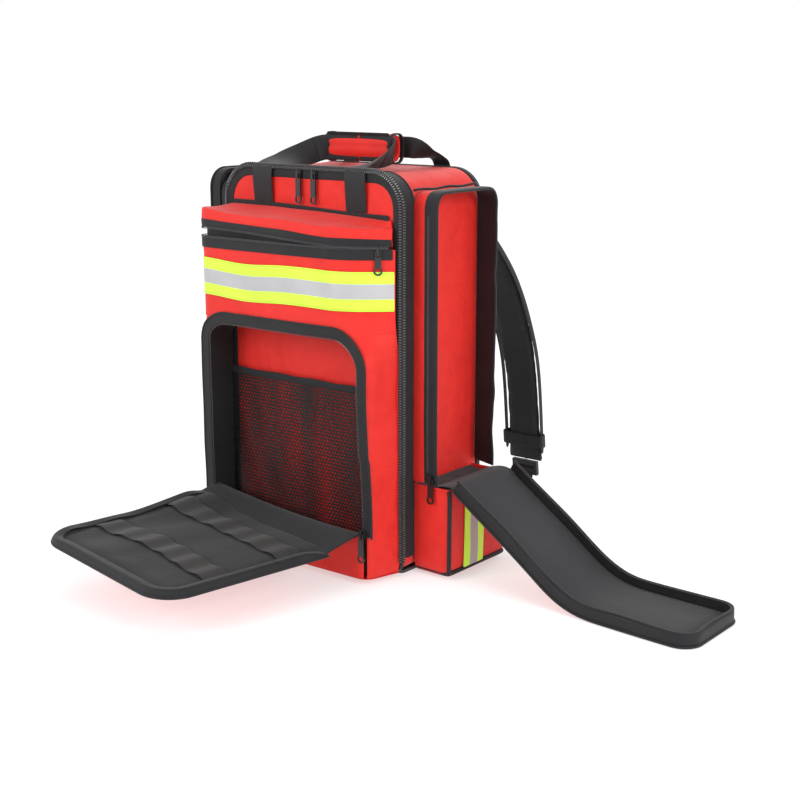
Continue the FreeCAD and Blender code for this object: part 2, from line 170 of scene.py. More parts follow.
def raise_surface(start, shader, height, distance, strength=1.0):
    bump = start.node("ShaderNodeBump", None, {"Height": height, "Distance": distance, "Strength": strength})
    feed(start, shader, "Normal", bump)


def metre_axes(start, from_uv):
    # cloth pieces carry a UV map in metres; the rest read the object's metres
    coords = start.node("ShaderNodeTexCoord", out=2 if from_uv else 3)
    split = start.node("ShaderNodeSeparateXYZ", None, {0: coords})
    axes = [Thread(start.tree, socket) for socket in split.socket.node.outputs]
    return coords, axes


def woven(name, dark, light, pitch, depth, roughness, from_uv=True, sheen=0.10, ribs=False, folds=0.0):
    """Woven cloth: crossed threads, slubs, slow colour change; ribs gives webbing and
    folds adds the small soft creases of a stiff coated cloth, in millimetres."""
    made, shader, start = new_material(name, roughness, sheen=sheen)
    shader.inputs["Sheen Roughness"].default_value = 0.45
    coords, (x, y, z) = metre_axes(start, from_uv)
    turn = 2 * math.pi / (pitch * mm)
    if from_uv:
        warp, weft = x, y
    else:
        warp, weft = x + y, z + (x - y) * 0.35
    threads = (warp * turn).sin() * (weft * (turn * (0.28 if ribs else 1.0))).sin()
    if ribs:
        threads = threads * 0.4 + (weft * turn).sin() * 0.6
    slubs = start.node("ShaderNodeTexNoise", {"noise_dimensions": "3D"},
                       {"Vector": coords, "Scale": 60.0, "Detail": 3.0, "Roughness": 0.6})
    slow = start.node("ShaderNodeTexNoise", None, {"Vector": coords, "Scale": 9.0, "Detail": 2.0})
    tone = threads * 0.16 + slubs * 0.5 + slow * 0.5
    shade_colour(start, shader, dark, light, tone)
    height = threads * 0.5 + slubs * 0.6
    if folds:
        rumple = start.node(
            "ShaderNodeTexNoise", {"noise_dimensions": "3D"},
            {"Vector": coords, "Scale": 17.0, "Detail": 2.5, "Roughness": 0.45, "Distortion": 0.9}
        )
        height = height + rumple * (folds / depth)
    raise_surface(start, shader, height, depth * mm, 0.9)
    feed(start, shader, "Roughness", slubs * 0.18 + (roughness - 0.09))
    return made


red_cloth = woven(
    "red_nylon_cloth", (0.46, 0.008, 0.006, 1), (0.74, 0.026, 0.017, 1), 0.9, 0.10, 0.50, folds=5.0
)


def finish(name, bm, material, recalc=True, level=0, thick=0.0, offset=-1.0):
    # mesh to object; a wall thickness and a subdivision when asked
    bmesh.ops.remove_doubles(bm, verts=bm.verts, dist=1e-6)
    if recalc:
        bmesh.ops.recalc_face_normals(bm, faces=bm.faces)
    mesh = bpy.data.meshes.new(name)
    bm.to_mesh(mesh)
    bm.free()
    mesh.polygons.foreach_set("use_smooth", [True] * len(mesh.polygons))
    made = bpy.data.objects.new(name, mesh)
    scene.collection.objects.link(made)
    mesh.materials.append(material)
    if thick:
        wall = made.modifiers.new("wall", "SOLIDIFY")
        wall.thickness = thick
        wall.offset = offset
    if level:
        soft = made.modifiers.new("soft", "SUBSURF")
        soft.levels = soft.render_levels = level
    return made


def station(point, across, out):
    # a frame on a route: local X across the tape, local Y out of the cloth
    across = across.normalized()
    out = (out - across * out.dot(across)).normalized()
    along = across.cross(out)
    return Matrix((
        (across.x, out.x, along.x, point.x),
        (across.y, out.y, along.y, point.y),
        (across.z, out.z, along.z, point.z),
        (0, 0, 0, 1),
    ))


def run_strip(name, section, stations, material, closed=False, level=0):
    """A tape, cord or web: a closed section extruded from station to station."""
    bm = bmesh.new()
    layer = bm.loops.layers.uv.new("cloth")
    ring = [bm.verts.new((a, b, 0)) for a, b in section]
    edges = [bm.edges.new((ring[i - 1], ring[i])) for i in range(len(ring))]
    first = list(ring)
    bmesh.ops.transform(bm, matrix=stations[0], verts=ring)
    length = [0.0]
    rings = [list(ring)]
    for before, after in zip(stations, stations[1:]):
        grown = bmesh.ops.extrude_edge_only(bm, edges=edges)
        fresh = [item for item in grown["geom"] if isinstance(item, bmesh.types.BMVert)]
        bmesh.ops.transform(bm, matrix=after @ before.inverted(), verts=fresh)
        fresh_set = set(fresh)
        edges = [item for item in grown["geom"] if isinstance(item, bmesh.types.BMEdge)
                 and item.verts[0] in fresh_set and item.verts[1] in fresh_set]
        length.append(length[-1] + (after.translation - before.translation).length)
        rings.append(fresh)
    rank = {}
    for index, group in enumerate(rings):
        inverse = stations[index].inverted()
        for vert in group:
            rank[vert] = (length[index], (inverse @ vert.co).x)
    for face in bm.faces:
        for loop in face.loops:
            along, across = rank[loop.vert]
            loop[layer].uv = (along, across)
    if closed:
        start_edges = [edge for edge in bm.edges if edge.verts[0] in first and edge.verts[1] in first]
        bmesh.ops.bridge_loops(bm, edges=start_edges + edges)
    else:
        bmesh.ops.holes_fill(bm, edges=[edge for edge in bm.edges if edge.is_boundary])
    return finish(name, bm, material, level=level)


def crease(point, size, seed=0.0):
    # smooth wrinkle field, -1 to 1, same on every run
    return noise.noise(
        Vector((point[0] / size[0] + seed, point[1] / size[1] - seed, point[2] / size[2] + 2 * seed))
    )


def arch_route(x0, x1, z0, z1, radius, step=9 * mm, closed_low=None):
    """Points and outward directions of a rounded frame in X and Z: up the left,
    over the top, down the right; closed_low gives the lower corner radius."""
    points = []

    def straight(ax, az, bx, bz, nx, nz):
        count = max(2, int(math.hypot(bx - ax, bz - az) / step))
        for i in range(count):
            t = i / count
            points.append((Vector((ax + (bx - ax) * t, 0, az + (bz - az) * t)), Vector((nx, 0, nz))))

    def corner(cx, cz, r, start, stop):
        count = max(4, int(abs(stop - start) * r / (step * 0.7)))
        for i in range(count):
            a = start + (stop - start) * i / count
            way = Vector((math.cos(a), 0, math.sin(a)))
            points.append((Vector((cx, 0, cz)) + way * r, way))
    low = closed_low or 0
    straight(x0, z0 + low, x0, z1 - radius, -1, 0)
    corner(x0 + radius, z1 - radius, radius, math.pi, math.pi / 2)
    straight(x0 + radius, z1, x1 - radius, z1, 0, 1)
    corner(x1 - radius, z1 - radius, radius, math.pi / 2, 0)
    straight(x1, z1 - radius, x1, z0 + low, 1, 0)
    if closed_low:
        corner(x1 - low, z0 + low, low, 0, -math.pi / 2)
        straight(x1 - low, z0, x0 + low, z0, 0, -1)
        corner(x0 + low, z0 + low, low, -math.pi / 2, -math.pi)
    else:
        points.append((Vector((x1, 0, z0)), Vector((1, 0, 0))))
    return points


shell_low, shell_high = (Vector(c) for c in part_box("body_gusset"))
TOP_R = 44 * mm
shell_y = (shell_low.y, shell_high.y)


def shell_section(bow):
    # across the band: outer side bows, inner side is flat
    half = (shell_y[1] - shell_y[0]) / 2
    outer = [(-half + 2 * half * i / 14, 0.2 * mm + bow * math.sin(math.pi * i / 14)) for i in range(15)]
    return outer + [(half, -3.6 * mm), (0, -3.6 * mm), (-half, -3.6 * mm)]


middle_y = (shell_y[0] + shell_y[1]) / 2
shell_stations = [
    station(Vector((p.x, middle_y, p.z)), Vector((0, 1, 0)), out)
    for p, out in arch_route(shell_low.x, shell_high.x, shell_low.z, shell_high.z, TOP_R, closed_low=18 * mm)
]
shell = run_strip("shell_cloth", shell_section(-1.5 * mm), shell_stations, red_cloth, closed=True, level=1)
for vert in shell.data.vertices:
    p = vert.co
    side = abs(p.x) > 0.140 and 0.03 < p.z < 0.5
    depth = 2.6 * mm if side else 1.4 * mm
    inside = math.sin(math.pi * (p.y - shell_y[0]) / (shell_y[1] - shell_y[0]))
    fold = crease((p.x, p.y * 0.6 + p.z * 0.55, p.z - p.y), (0.09, 0.07, 0.045), 3.1)
    out = Vector((p.x / 0.15, 0, (p.z - 0.26) / 0.26))
    out = Vector((math.copysign(1, p.x), 0, 0)) if side else Vector((0, 0, math.copysign(1, p.z - 0.26)))
    if 0.01 < p.z:
        vert.co = p + out * (fold * depth * max(inside, 0))
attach(shell, "pack_body")
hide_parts("body_gusset")

# ---- Main zip
# Long-chain coil zip round the left, top and right of the front: black tape on
# the shell, black tape on the door, and the coil standing on the edge between.
black_tape = woven("black_binding_tape", (0.003, 0.003, 0.004, 1), (0.020, 0.020, 0.022, 1), 1.5, 0.22, 0.60)
coil_nylon, coil_shader, coil_start = new_material("black_coil_nylon", 0.30, coat=0.3)
coil_coords, _ = metre_axes(coil_start, False)
coil_noise = coil_start.node("ShaderNodeTexNoise", None, {"Vector": coil_coords, "Scale": 300.0})
shade_colour(coil_start, coil_shader, (0.020, 0.020, 0.022, 1), (0.085, 0.085, 0.092, 1), coil_noise)


def flat_section(width, thick, low=None, round_edges=True):
    # section of a tape lying on cloth, its lower side at b = 0
    half = width / 2
    lift = 0 if low is None else low
    if not round_edges:
        return [(-half, lift), (half, lift), (half, lift + thick), (-half, lift + thick)]
    nip = min(thick * 0.45, half * 0.3)
    return [(-half, lift + nip), (-half + nip, lift), (half - nip, lift), (half, lift + nip),
            (half, lift + thick - nip), (half - nip, lift + thick), (half * 0.4, lift + thick),
            (-half * 0.4, lift + thick), (-half + nip, lift + thick), (-half, lift + thick - nip)]


def round_section(radius, count=10):
    return [(radius * math.cos(2 * math.pi * i / count), radius * math.sin(2 * math.pi * i / count))
            for i in range(count)]


def ride_all(body, *pieces):
    for piece in pieces:
        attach(piece, body)


HALF = 150 * mm
TOP = 520 * mm
front_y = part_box("door_panel")[0][1]
door_back_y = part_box("door_panel")[1][1]
band_low, band_high = (Vector(c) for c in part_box("body_zip_tape"))


def zip_stations(y, grow=0.0, step=9 * mm, low=22 * mm, wave=0.0):
    made = []
    for p, out in arch_route(-HALF - grow, HALF + grow, low, TOP + grow, TOP_R + grow, step=step):
        ripple = wave * crease((p.x, 0, p.z), (0.05, 0.05, 0.05), 7.7)
        made.append(station(Vector((p.x, y, p.z)) + out * ripple, Vector((0, 1, 0)), out))
    return made


body_band = run_strip("body_zip_band", flat_section(band_high.y - band_low.y, 1.6 * mm, -1.2 * mm),
                      zip_stations((band_low.y + band_high.y) / 2), black_tape, level=1)
body_seam = run_strip(
    "body_zip_piping", round_section(1.5 * mm, 8), zip_stations(band_high.y + 0.6 * mm, -0.2 * mm),
    black_tape
)
ride_all("pack_body", body_band, body_seam)
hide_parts("body_zip_tape")
door_side = run_strip("door_zip_side", flat_section(7.6 * mm, 1.2 * mm, -1.1 * mm),
                      zip_stations((front_y + door_back_y) / 2 - 0.2 * mm), black_tape)
lip_section = [
    (0, -1.0 * mm), (0, 0.4 * mm), (0.6 * mm, 1.3 * mm), (5 * mm, 1.6 * mm), (11.2 * mm, 1.3 * mm),
    (12.2 * mm, 0.5 * mm), (12.2 * mm, -1.0 * mm)
]
lip_stations = []
for p, out in arch_route(-HALF, HALF, 20 * mm, TOP, TOP_R):
    wave = 0.7 * mm * crease((p.x, 0, p.z), (0.04, 0.04, 0.04), 1.3)
    lip_stations.append(
        station(Vector((p.x, front_y - 0.2 * mm, p.z)) + out * wave, -out, Vector((0, -1, 0)))
    )
door_lip = run_strip("door_zip_lip", lip_section, lip_stations, black_tape, level=1)


def coil(name, route, radius, pitch, body):
    """Rows of moulded coil links: one small bevelled bead every pitch."""
    bm = bmesh.new()
    travelled = 0.0
    for before, after in zip(route, route[1:]):
        span = (after.translation - before.translation).length
        travelled += span
        while travelled >= pitch:
            travelled -= pitch
            t = 1 - travelled / max(span, 1e-9)
            spot = before.lerp(after, max(min(t, 1.0), 0.0))
            for side in (-1, 1):
                link = spot @ Matrix.Translation((side * radius * 0.75, 0, side * pitch * 0.25))
                link = link @ Matrix.Diagonal((radius * 1.35, radius * 1.1, pitch * 0.42, 1))
                bmesh.ops.create_cone(
                    bm, cap_ends=True, segments=6, radius1=0.5, radius2=0.5, depth=1.0, matrix=link
                )
    piece = finish(name, bm, coil_nylon)
    piece.data.polygons.foreach_set("use_smooth", [False] * len(piece.data.polygons))
    if body:
        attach(piece, body)
    return piece


coil_route = []
for p, out in arch_route(-HALF, HALF, 20 * mm, TOP, TOP_R, step=6 * mm):
    lean = (out + Vector((0, -1, 0))).normalized()
    across = (out - Vector((0, -1, 0))).normalized()
    coil_route.append(station(Vector((p.x, front_y + 1.2 * mm, p.z)) + lean * 3.4 * mm, across, lean))
coil("main_zip_coil", coil_route, 3.2 * mm, 3.4 * mm, "door")
ride_all("door", door_side, door_lip)
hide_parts("door_zip_tape")

# ---- Door
# Red nylon over foam with a black lining, bowed a little and creased near the
# top where the carry loop's legs pull on it.
black_cloth = woven("black_nylon_cloth", (0.004, 0.004, 0.005, 1), (0.020, 0.020, 0.022, 1), 0.9, 0.10, 0.62)


def cut_panel(name, size, cells, place, material, thick=1.2 * mm, level=1, offset=-1.0):
    """A piece of cloth cut as a grid and laid where place(u, v) says, 0 to 1 each way."""
    bm = bmesh.new()
    layer = bm.loops.layers.uv.new("cloth")
    bmesh.ops.create_grid(bm, x_segments=cells[0], y_segments=cells[1], size=0.5, calc_uvs=True)
    for face in bm.faces:
        for loop in face.loops:
            u, v = loop.vert.co.x + 0.5, loop.vert.co.y + 0.5
            loop[layer].uv = (u * size[0], v * size[1])
    for vert in bm.verts:
        vert.co = place(vert.co.x + 0.5, vert.co.y + 0.5)
    return finish(name, bm, material, recalc=False, level=level, thick=thick, offset=offset)


def ease(low, high, value):
    t = min(max((value - low) / (high - low), 0.0), 1.0)
    return t * t * (3 - 2 * t)


door_low, door_high = (Vector(c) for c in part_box("door_panel"))


def rounded(u, v, x0, x1, z0, z1, top_r, low_r):
    # a point of a rounded rectangle: corner stretches are pulled on to their arcs
    x, z = x0 + (x1 - x0) * u, z0 + (z1 - z0) * v
    for cx, cz, r, near in ((x0 + top_r, z1 - top_r, top_r, x < x0 + top_r and z > z1 - top_r),
                            (x1 - top_r, z1 - top_r, top_r, x > x1 - top_r and z > z1 - top_r),
                            (x0 + low_r, z0 + low_r, low_r, x < x0 + low_r and z < z0 + low_r),
                            (x1 - low_r, z0 + low_r, low_r, x > x1 - low_r and z < z0 + low_r)):
        if near:
            dx, dz = x - cx, z - cz
            square = max(abs(dx), abs(dz))
            far = math.hypot(dx, dz)
            if far > 1e-9:
                x, z = cx + dx * square / far, cz + dz * square / far
    return x, z


def door_face(y, bow, depth, seed, inset):
    def place(u, v):
        x, z = rounded(
            u, v, door_low.x + inset, door_high.x - inset, door_low.z + inset, door_high.z - inset,
            TOP_R - inset, 16 * mm
        )
        edge = min(u, 1 - u, v, 1 - v)
        soft = ease(0, 0.12, edge)
        pull = math.exp(-((z - 0.500) / 0.03) ** 2) * crease((x, 0, z * 0.25), (0.018, 1, 0.05), 4.4)
        fold = crease((x, 0, z), (0.10, 1, 0.06), seed)
        return Vector((x, y + bow * soft + (fold * depth + pull * 2.2 * mm) * soft, z))
    return place


door_front = cut_panel(
    "door_front_cloth", (0.3, 0.52), (70, 90),
    door_face(door_low.y + 0.6 * mm, -0.4 * mm, 0.8 * mm, 2.2, 1 * mm), red_cloth, thick=1.0 * mm, offset=1.0
)
door_lining = cut_panel(
    "door_lining_cloth", (0.3, 0.52), (40, 60),
    door_face(door_high.y - 0.6 * mm, -0.8 * mm, 1.0 * mm, 5.2, 1 * mm), black_cloth, thick=1.0 * mm,
    offset=-1.0
)
door_edge_stations = [
    station(Vector((p.x, (front_y + door_back_y) / 2, p.z)), Vector((0, 1, 0)), out)
    for p, out in arch_route(door_low.x, door_high.x, door_low.z, door_high.z, TOP_R, closed_low=16 * mm)
]
door_edge = run_strip(
    "door_edge_binding", flat_section(7.6 * mm, 1.2 * mm, -1.2 * mm), door_edge_stations, black_tape,
    closed=True
)
ride_all("door", door_front, door_lining, door_edge)
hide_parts("door_panel")

# ---- Front of the pockets
# One red face covers both door pockets. Low down it is a box; higher up its right
# end runs back to the zip in a long slant, so the top pocket is deep only at the left.
pocket_low, _ = (Vector(c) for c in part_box("front_pocket_shell"))
_, top_high = (Vector(c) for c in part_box("top_pocket_shell"))
pocket_y = pocket_low.y
slant_x = 72 * mm
left_x = -149.6 * mm
back_y = front_y - 1.8 * mm
LEFT_RUN = back_y - pocket_y
FRONT_RUN = slant_x - left_x
END_RUN = 120 * mm
FACE_RUN = LEFT_RUN + FRONT_RUN + END_RUN
frame_low, frame_high = (Vector(c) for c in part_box("front_pocket_zip_tape"))
flap_hinge_z = 64 * mm


def along_front(x):
    return LEFT_RUN + x - left_x


def face_point(run, z, out=0.0):
    """Point on the pockets' common face: run is measured from the left rear edge."""
    corner = 16 * mm
    if run < LEFT_RUN:
        p, n = Vector((left_x, back_y - run, z)), Vector((-1, 0, 0))
    elif run < LEFT_RUN + FRONT_RUN:
        p, n = Vector((left_x + run - LEFT_RUN, pocket_y, z)), Vector((0, -1, 0))
    else:
        f = min((run - LEFT_RUN - FRONT_RUN) / END_RUN, 1.0)
        # lower plan: on to x 136, round the corner and back to the door
        side = f * 118 * mm - 62 * mm
        if side < 0:
            low = Vector((slant_x + 62 * mm + side, pocket_y, z))
        else:
            low = Vector((136 * mm + 11 * mm * side / (56 * mm), pocket_y + side, z))
            low.y = min(low.y, back_y)
        turn = ease(-14 * mm, 14 * mm, side)
        bend = max(0.0, 1 - abs(side) / (16 * mm))
        low += Vector((-0.7, 0.7, 0)) * (4.5 * mm * bend * bend)
        low_n = Vector((turn, turn - 1, 0))
        # upper plan: the slant
        t = f
        high = Vector((slant_x + 73 * mm * t, pocket_y + 50 * mm * (t ** 1.35), z))
        high_n = Vector((0.35 + 0.3 * t, -0.9, 0))
        mix = ease(0.285, 0.345, z)
        p = low.lerp(high, mix)
        n = low_n.lerp(high_n, mix)
    blunt = max(0.0, 1 - abs(run - LEFT_RUN - FRONT_RUN) / (70 * mm)) * ease(0.30, 0.35, z)
    p = p + Vector((0, 5 * mm * blunt * blunt * (3 - 2 * blunt), 0))
    for at, radius in ((LEFT_RUN, corner),):
        near = 1 - abs(run - at) / radius
        if near > 0:
            n = Vector((-1, 0, 0)).lerp(Vector((0, -1, 0)), 0.5 + 0.5 * (run - at) / radius)
            p = p + Vector((1, 1, 0)).normalized() * (radius * 0.28 * near * near)
    return p + n.normalized() * out


def face_cloth(point, depth, seed):
    fold = crease((point.x + point.z * 0.5, point.y, point.z), (0.11, 0.11, 0.05), seed)
    fine = crease((point.x, point.y, point.z + point.x * 0.3), (0.05, 0.04, 0.022), seed + 3)
    return depth * fold + 0.3 * depth * fine


def face_panel(
    name, run_at, z0, z1, cells, depth, seed, material=red_cloth, out=0.0, hold=0.06, thick=1.4 * mm
):
    def place(u, v):
        z = z0 + (z1 - z0) * v
        r0, r1 = run_at(z)
        run = r0 + (r1 - r0) * u
        base = face_point(run, z)
        soft = ease(0, hold, min(u, 1 - u, v * 1.3, (1 - v) * 1.3))
        return face_point(run, z, out + face_cloth(base, depth, seed) * (0.25 + 0.75 * soft))
    r0, r1 = run_at((z0 + z1) / 2)
    return cut_panel(name, (r1 - r0, z1 - z0), cells, place, material, thick=thick)


FRAME_R = 48 * mm


def frame_edge(z, top, radius):
    # how far a rounded top corner has pulled in at this height
    over = z - (top - radius)
    if over <= 0:
        return 0.0
    return radius - math.sqrt(max(radius * radius - over * over, 0.0))


def mouth_flare(z):
    # the mouth's right leg runs outwards towards the foot
    return 7 * mm * ease(0.26, 0.08, z)


frame_right = frame_high.x
frame_left = frame_low.x
frame_top = frame_high.z
upper_z0 = frame_top - 1 * mm
zip_z = top_high.z
upper = face_panel(
    "top_pocket_front", lambda z: (0.5 * mm, FACE_RUN), upper_z0 - 3 * mm, zip_z - 1 * mm, (120, 44),
    1.9 * mm, 0.7
)
right_strip = face_panel(
    "front_pocket_right_strip",
    lambda z: (
        along_front(frame_right - 5 * mm - frame_edge(z, frame_top, FRAME_R) + mouth_flare(z)), FACE_RUN
    ),
    8 * mm, upper_z0, (36, 90), 2.6 * mm, 5.1
)
left_strip = face_panel(
    "front_pocket_left_strip",
    lambda z: (0.5 * mm, along_front(frame_left + 0.5 * mm + frame_edge(z, frame_top, FRAME_R))),
    8 * mm, upper_z0, (24, 60), 0.5 * mm, 8.1)
low_strip = face_panel(
    "front_pocket_low_strip",
    lambda z: (along_front(frame_left + 1 * mm), along_front(frame_right - 1 * mm)), 8 * mm,
    flap_hinge_z + 1 * mm, (80, 12), 1.6 * mm, 2.6, out=1.0 * mm
)


def floor_place(u, v):
    run = 0.5 * mm + (FACE_RUN - 1 * mm) * u
    rim = face_point(run, 8 * mm)
    back = Vector((rim.x, back_y, 8 * mm))
    p = rim.lerp(back, v)
    return p + Vector((0, 0, -1.5 * mm * math.sin(math.pi * v)))


pocket_floor = cut_panel("front_pocket_floor", (FACE_RUN, 0.055), (60, 8), floor_place, red_cloth)
ride_all("door", upper, right_strip, left_strip, low_strip, pocket_floor)
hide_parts("top_pocket_shell")
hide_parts("front_pocket_shell")

# ---- Reflective tape
# 50 mm fluorescent tape with a silver stripe, sewn along both edges; it follows
# the pocket's face and wrinkles with it.


def edge_stitches(across, along, edge, pitch):
    # dark short stitches running beside an edge, as a mask
    line = (across - edge).size() < 0.0005
    return line * ((along * (1 / pitch)).fract() < 0.62)


tape_box = [Vector(c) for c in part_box("front_band")]
reflective, reflective_shader, reflective_start = new_material("reflective_tape", 0.42, sheen=0.1)
_, (tape_u, tape_v, _) = metre_axes(reflective_start, True)
BAND = 50 * mm
stripe = (tape_v - BAND / 2).size() < 9.6 * mm
seam_low = edge_stitches(tape_v, tape_u, 2.2 * mm, 3.2 * mm)
seam_high = edge_stitches(tape_v, tape_u, BAND - 2.2 * mm, 3.2 * mm)
stitch_mask = seam_low + seam_high
tape_slow = reflective_start.node(
    "ShaderNodeTexNoise", None,
    {"Vector": metre_axes(reflective_start, True)[0], "Scale": 14.0, "Detail": 3.0}
)
lime = reflective_start.node("ShaderNodeMix", {"data_type": "RGBA"},
                             {0: tape_slow, 6: (0.42, 0.80, 0.03, 1), 7: (0.58, 0.95, 0.07, 1)}, out=2)
silver = reflective_start.node("ShaderNodeMix", {"data_type": "RGBA"},
                               {0: tape_slow, 6: (0.30, 0.30, 0.31, 1), 7: (0.46, 0.46, 0.47, 1)}, out=2)
two_tone = reflective_start.node(
    "ShaderNodeMix", {"data_type": "RGBA"}, {0: stripe, 6: lime, 7: silver}, out=2
)
sewn = reflective_start.node("ShaderNodeMix", {"data_type": "RGBA"},
                             {0: stitch_mask * 0.75, 6: two_tone, 7: (0.30, 0.42, 0.02, 1)}, out=2)
feed(reflective_start, reflective_shader, "Base Color", sewn)
glow = reflective_start.node(
    "ShaderNodeMix", {"data_type": "RGBA"}, {0: stripe, 6: lime, 7: (0, 0, 0, 1)}, out=2
)
feed(reflective_start, reflective_shader, "Emission Color", glow)
reflective_shader.inputs["Emission Strength"].default_value = 0.10
tape_grid = (tape_u * (2 * math.pi / (0.9 * mm))).sin() * (tape_v * (2 * math.pi / (0.9 * mm))).sin()
raise_surface(reflective_start, reflective_shader, tape_grid * 0.4 - stitch_mask * 2.0, 0.12 * mm, 0.6)


def band_place(u, v):
    run = 1.5 * mm + (FACE_RUN - 3 * mm) * u
    base = face_point(run, tape_box[0].z + BAND * v)
    sway = 2.2 * mm * math.sin(run * 34) * math.exp(-((run - 0.13) / 0.12) ** 2) - 1.2 * mm
    z = tape_box[0].z + BAND * v + sway
    return face_point(
        run, z,
        1.3 * mm + face_cloth(base, 1.9 * mm, 0.7) + 0.5 * mm * math.sin(run * 90) * math.sin(math.pi * v)
    )


front_band = cut_panel(
    "front_reflective_band", (FACE_RUN, BAND), (150, 12), band_place, reflective, thick=0.5 * mm
)
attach(front_band, "door")
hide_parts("front_band")

# ---- Top pocket's zip and lip
# The lip is the upper half of the pocket: it hangs from a binding on the door,
# is pulled out at the left and leaves the zip gaping there.
_, lip_high = (Vector(c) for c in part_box("top_pocket_lip"))
binding_low, _ = (Vector(c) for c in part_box("top_pocket_binding"))


def gape(run):
    # how far the zip stands open, widest left of the middle
    t = min(max((run - 4 * mm) / (FACE_RUN - 22 * mm), 0.0), 1.0)
    return (1 - ease(0.35, 0.95, t)) * 10 * mm


def lip_point(run, v, out=0.0):
    # v from 0 at the binding, over the top fold, to 1 at the zip
    rim = face_point(run, lip_high.z)
    x_in = min(max(rim.x, -136 * mm), 136 * mm)
    slip = 7 * mm * ease(0.10, 0.40, run)
    top = Vector((x_in, back_y, binding_low.z + 4 * mm - slip))
    low_z = zip_z + 1.8 * mm + gape(run) + 1.4 * mm * math.sin(run * 22)
    edge = face_point(run, low_z, 1.0 * mm)
    flare = 5 * mm * math.exp(-((run - LEFT_RUN) / 0.04) ** 2)
    fold = face_point(run, lip_high.z - 4 * mm + flare - 1.3 * slip, 0.5 * mm)
    if v < 0.55:
        t = v / 0.55
        p = top.lerp(fold, t) + Vector((0, 0, -2.5 * mm * math.sin(math.pi * t)))
    else:
        t = (v - 0.55) / 0.45
        p = fold.lerp(edge, t)
        p.y -= 1.5 * mm * math.sin(math.pi * t)
    ripple = crease((p.x + p.z, p.y * 0.6, p.z * 0.8), (0.055, 0.05, 0.035), 9.3)
    keep = ease(0, 0.1, v)
    return p + Vector((0, -0.6, 0.8)) * (2.6 * mm * ripple * keep * (1 - 0.6 * ease(0.8, 1, v)) + out)


lip = cut_panel("top_pocket_lip_cloth", (FACE_RUN, 0.09), (120, 30),
                lambda u, v: lip_point(2 * mm + (FACE_RUN - 6 * mm) * u, v), red_cloth, thick=-1.2 * mm)


def tape_on_lip(u, v):
    run = 2 * mm + (FACE_RUN - 6 * mm) * u
    return lip_point(run, 0.80 + 0.205 * v) + Vector((0.0, -0.9 * mm, 0))


lip_tape = cut_panel(
    "top_pocket_zip_high_tape", (FACE_RUN, 13 * mm), (120, 5), tape_on_lip, black_tape, thick=-1.0 * mm
)


def tape_on_shell(u, v):
    run = 2 * mm + (FACE_RUN - 6 * mm) * u
    z = zip_z - 14 * mm + 14 * mm * v
    return face_point(run, z, 1.5 * mm + face_cloth(face_point(run, z), 1.9 * mm, 0.7))


shell_tape = cut_panel(
    "top_pocket_zip_low_tape", (FACE_RUN, 14 * mm), (120, 5), tape_on_shell, black_tape, thick=1.0 * mm
)
upper_coil_route, lower_coil_route = [], []
for i in range(100):
    run = 4 * mm + (FACE_RUN - 14 * mm) * i / 99
    low = face_point(run, zip_z + 0.6 * mm, 2.2 * mm)
    high = lip_point(run, 1.0) + Vector((0, -1.4 * mm, -0.8 * mm))
    out = (face_point(run, zip_z, 1.0) - face_point(run, zip_z)).normalized()
    lower_coil_route.append(station(low, Vector((0, 0, 1)), out))
    upper_coil_route.append(station(high, Vector((0, 0, 1)), out))
coil("top_zip_coil_low", lower_coil_route, 1.1 * mm, 2.2 * mm, "door")
coil("top_zip_coil_high", upper_coil_route, 1.1 * mm, 2.2 * mm, "door")


def lining_place(u, v):
    run = 5 * mm + (FACE_RUN - 14 * mm) * u
    rim = face_point(run, zip_z - 12 * mm, -3.5 * mm)
    back = Vector((min(max(rim.x, -0.14), 0.13), back_y - 1 * mm, zip_z - 40 * mm + 60 * mm))
    return rim.lerp(back, v) + Vector((0, 0, -26 * mm * math.sin(math.pi * v)))


pocket_lining = cut_panel(
    "top_pocket_lining", (FACE_RUN, 0.08), (60, 12), lining_place, black_cloth, thick=0.8 * mm
)
def curtain_place(u, v):
    run = 14 * mm + (FACE_RUN - 24 * mm) * u
    z = zip_z - 16 * mm + (gape(run) + 26 * mm) * v
    return face_point(run, z, -5.0 * mm - 1.2 * mm * math.sin(run * 60))


pocket_curtain = cut_panel(
    "top_pocket_curtain", (FACE_RUN, 0.03), (80, 8), curtain_place, black_cloth, thick=0.8 * mm
)
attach(pocket_curtain, "door")
binding_route = [station(Vector((x * mm, back_y - 0.6 * mm + 0.4 * mm * math.sin(x * 0.07),
                                 binding_low.z + 4.5 * mm - 7 * mm * ease(-0.11, 0.13, x * mm))),
                         Vector((0, 0, 1)), Vector((0, -1, 0))) for x in range(-137, 138, 5)]
lip_binding = run_strip(
    "top_pocket_binding_tape", flat_section(10 * mm, 2.0 * mm, -0.6 * mm), binding_route, black_tape, level=1
)
ride_all("door", lip, lip_tape, shell_tape, pocket_lining, lip_binding)
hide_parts("top_pocket_lip")
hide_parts("top_pocket_zip_high")
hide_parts("top_pocket_zip_low")
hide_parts("top_pocket_binding")

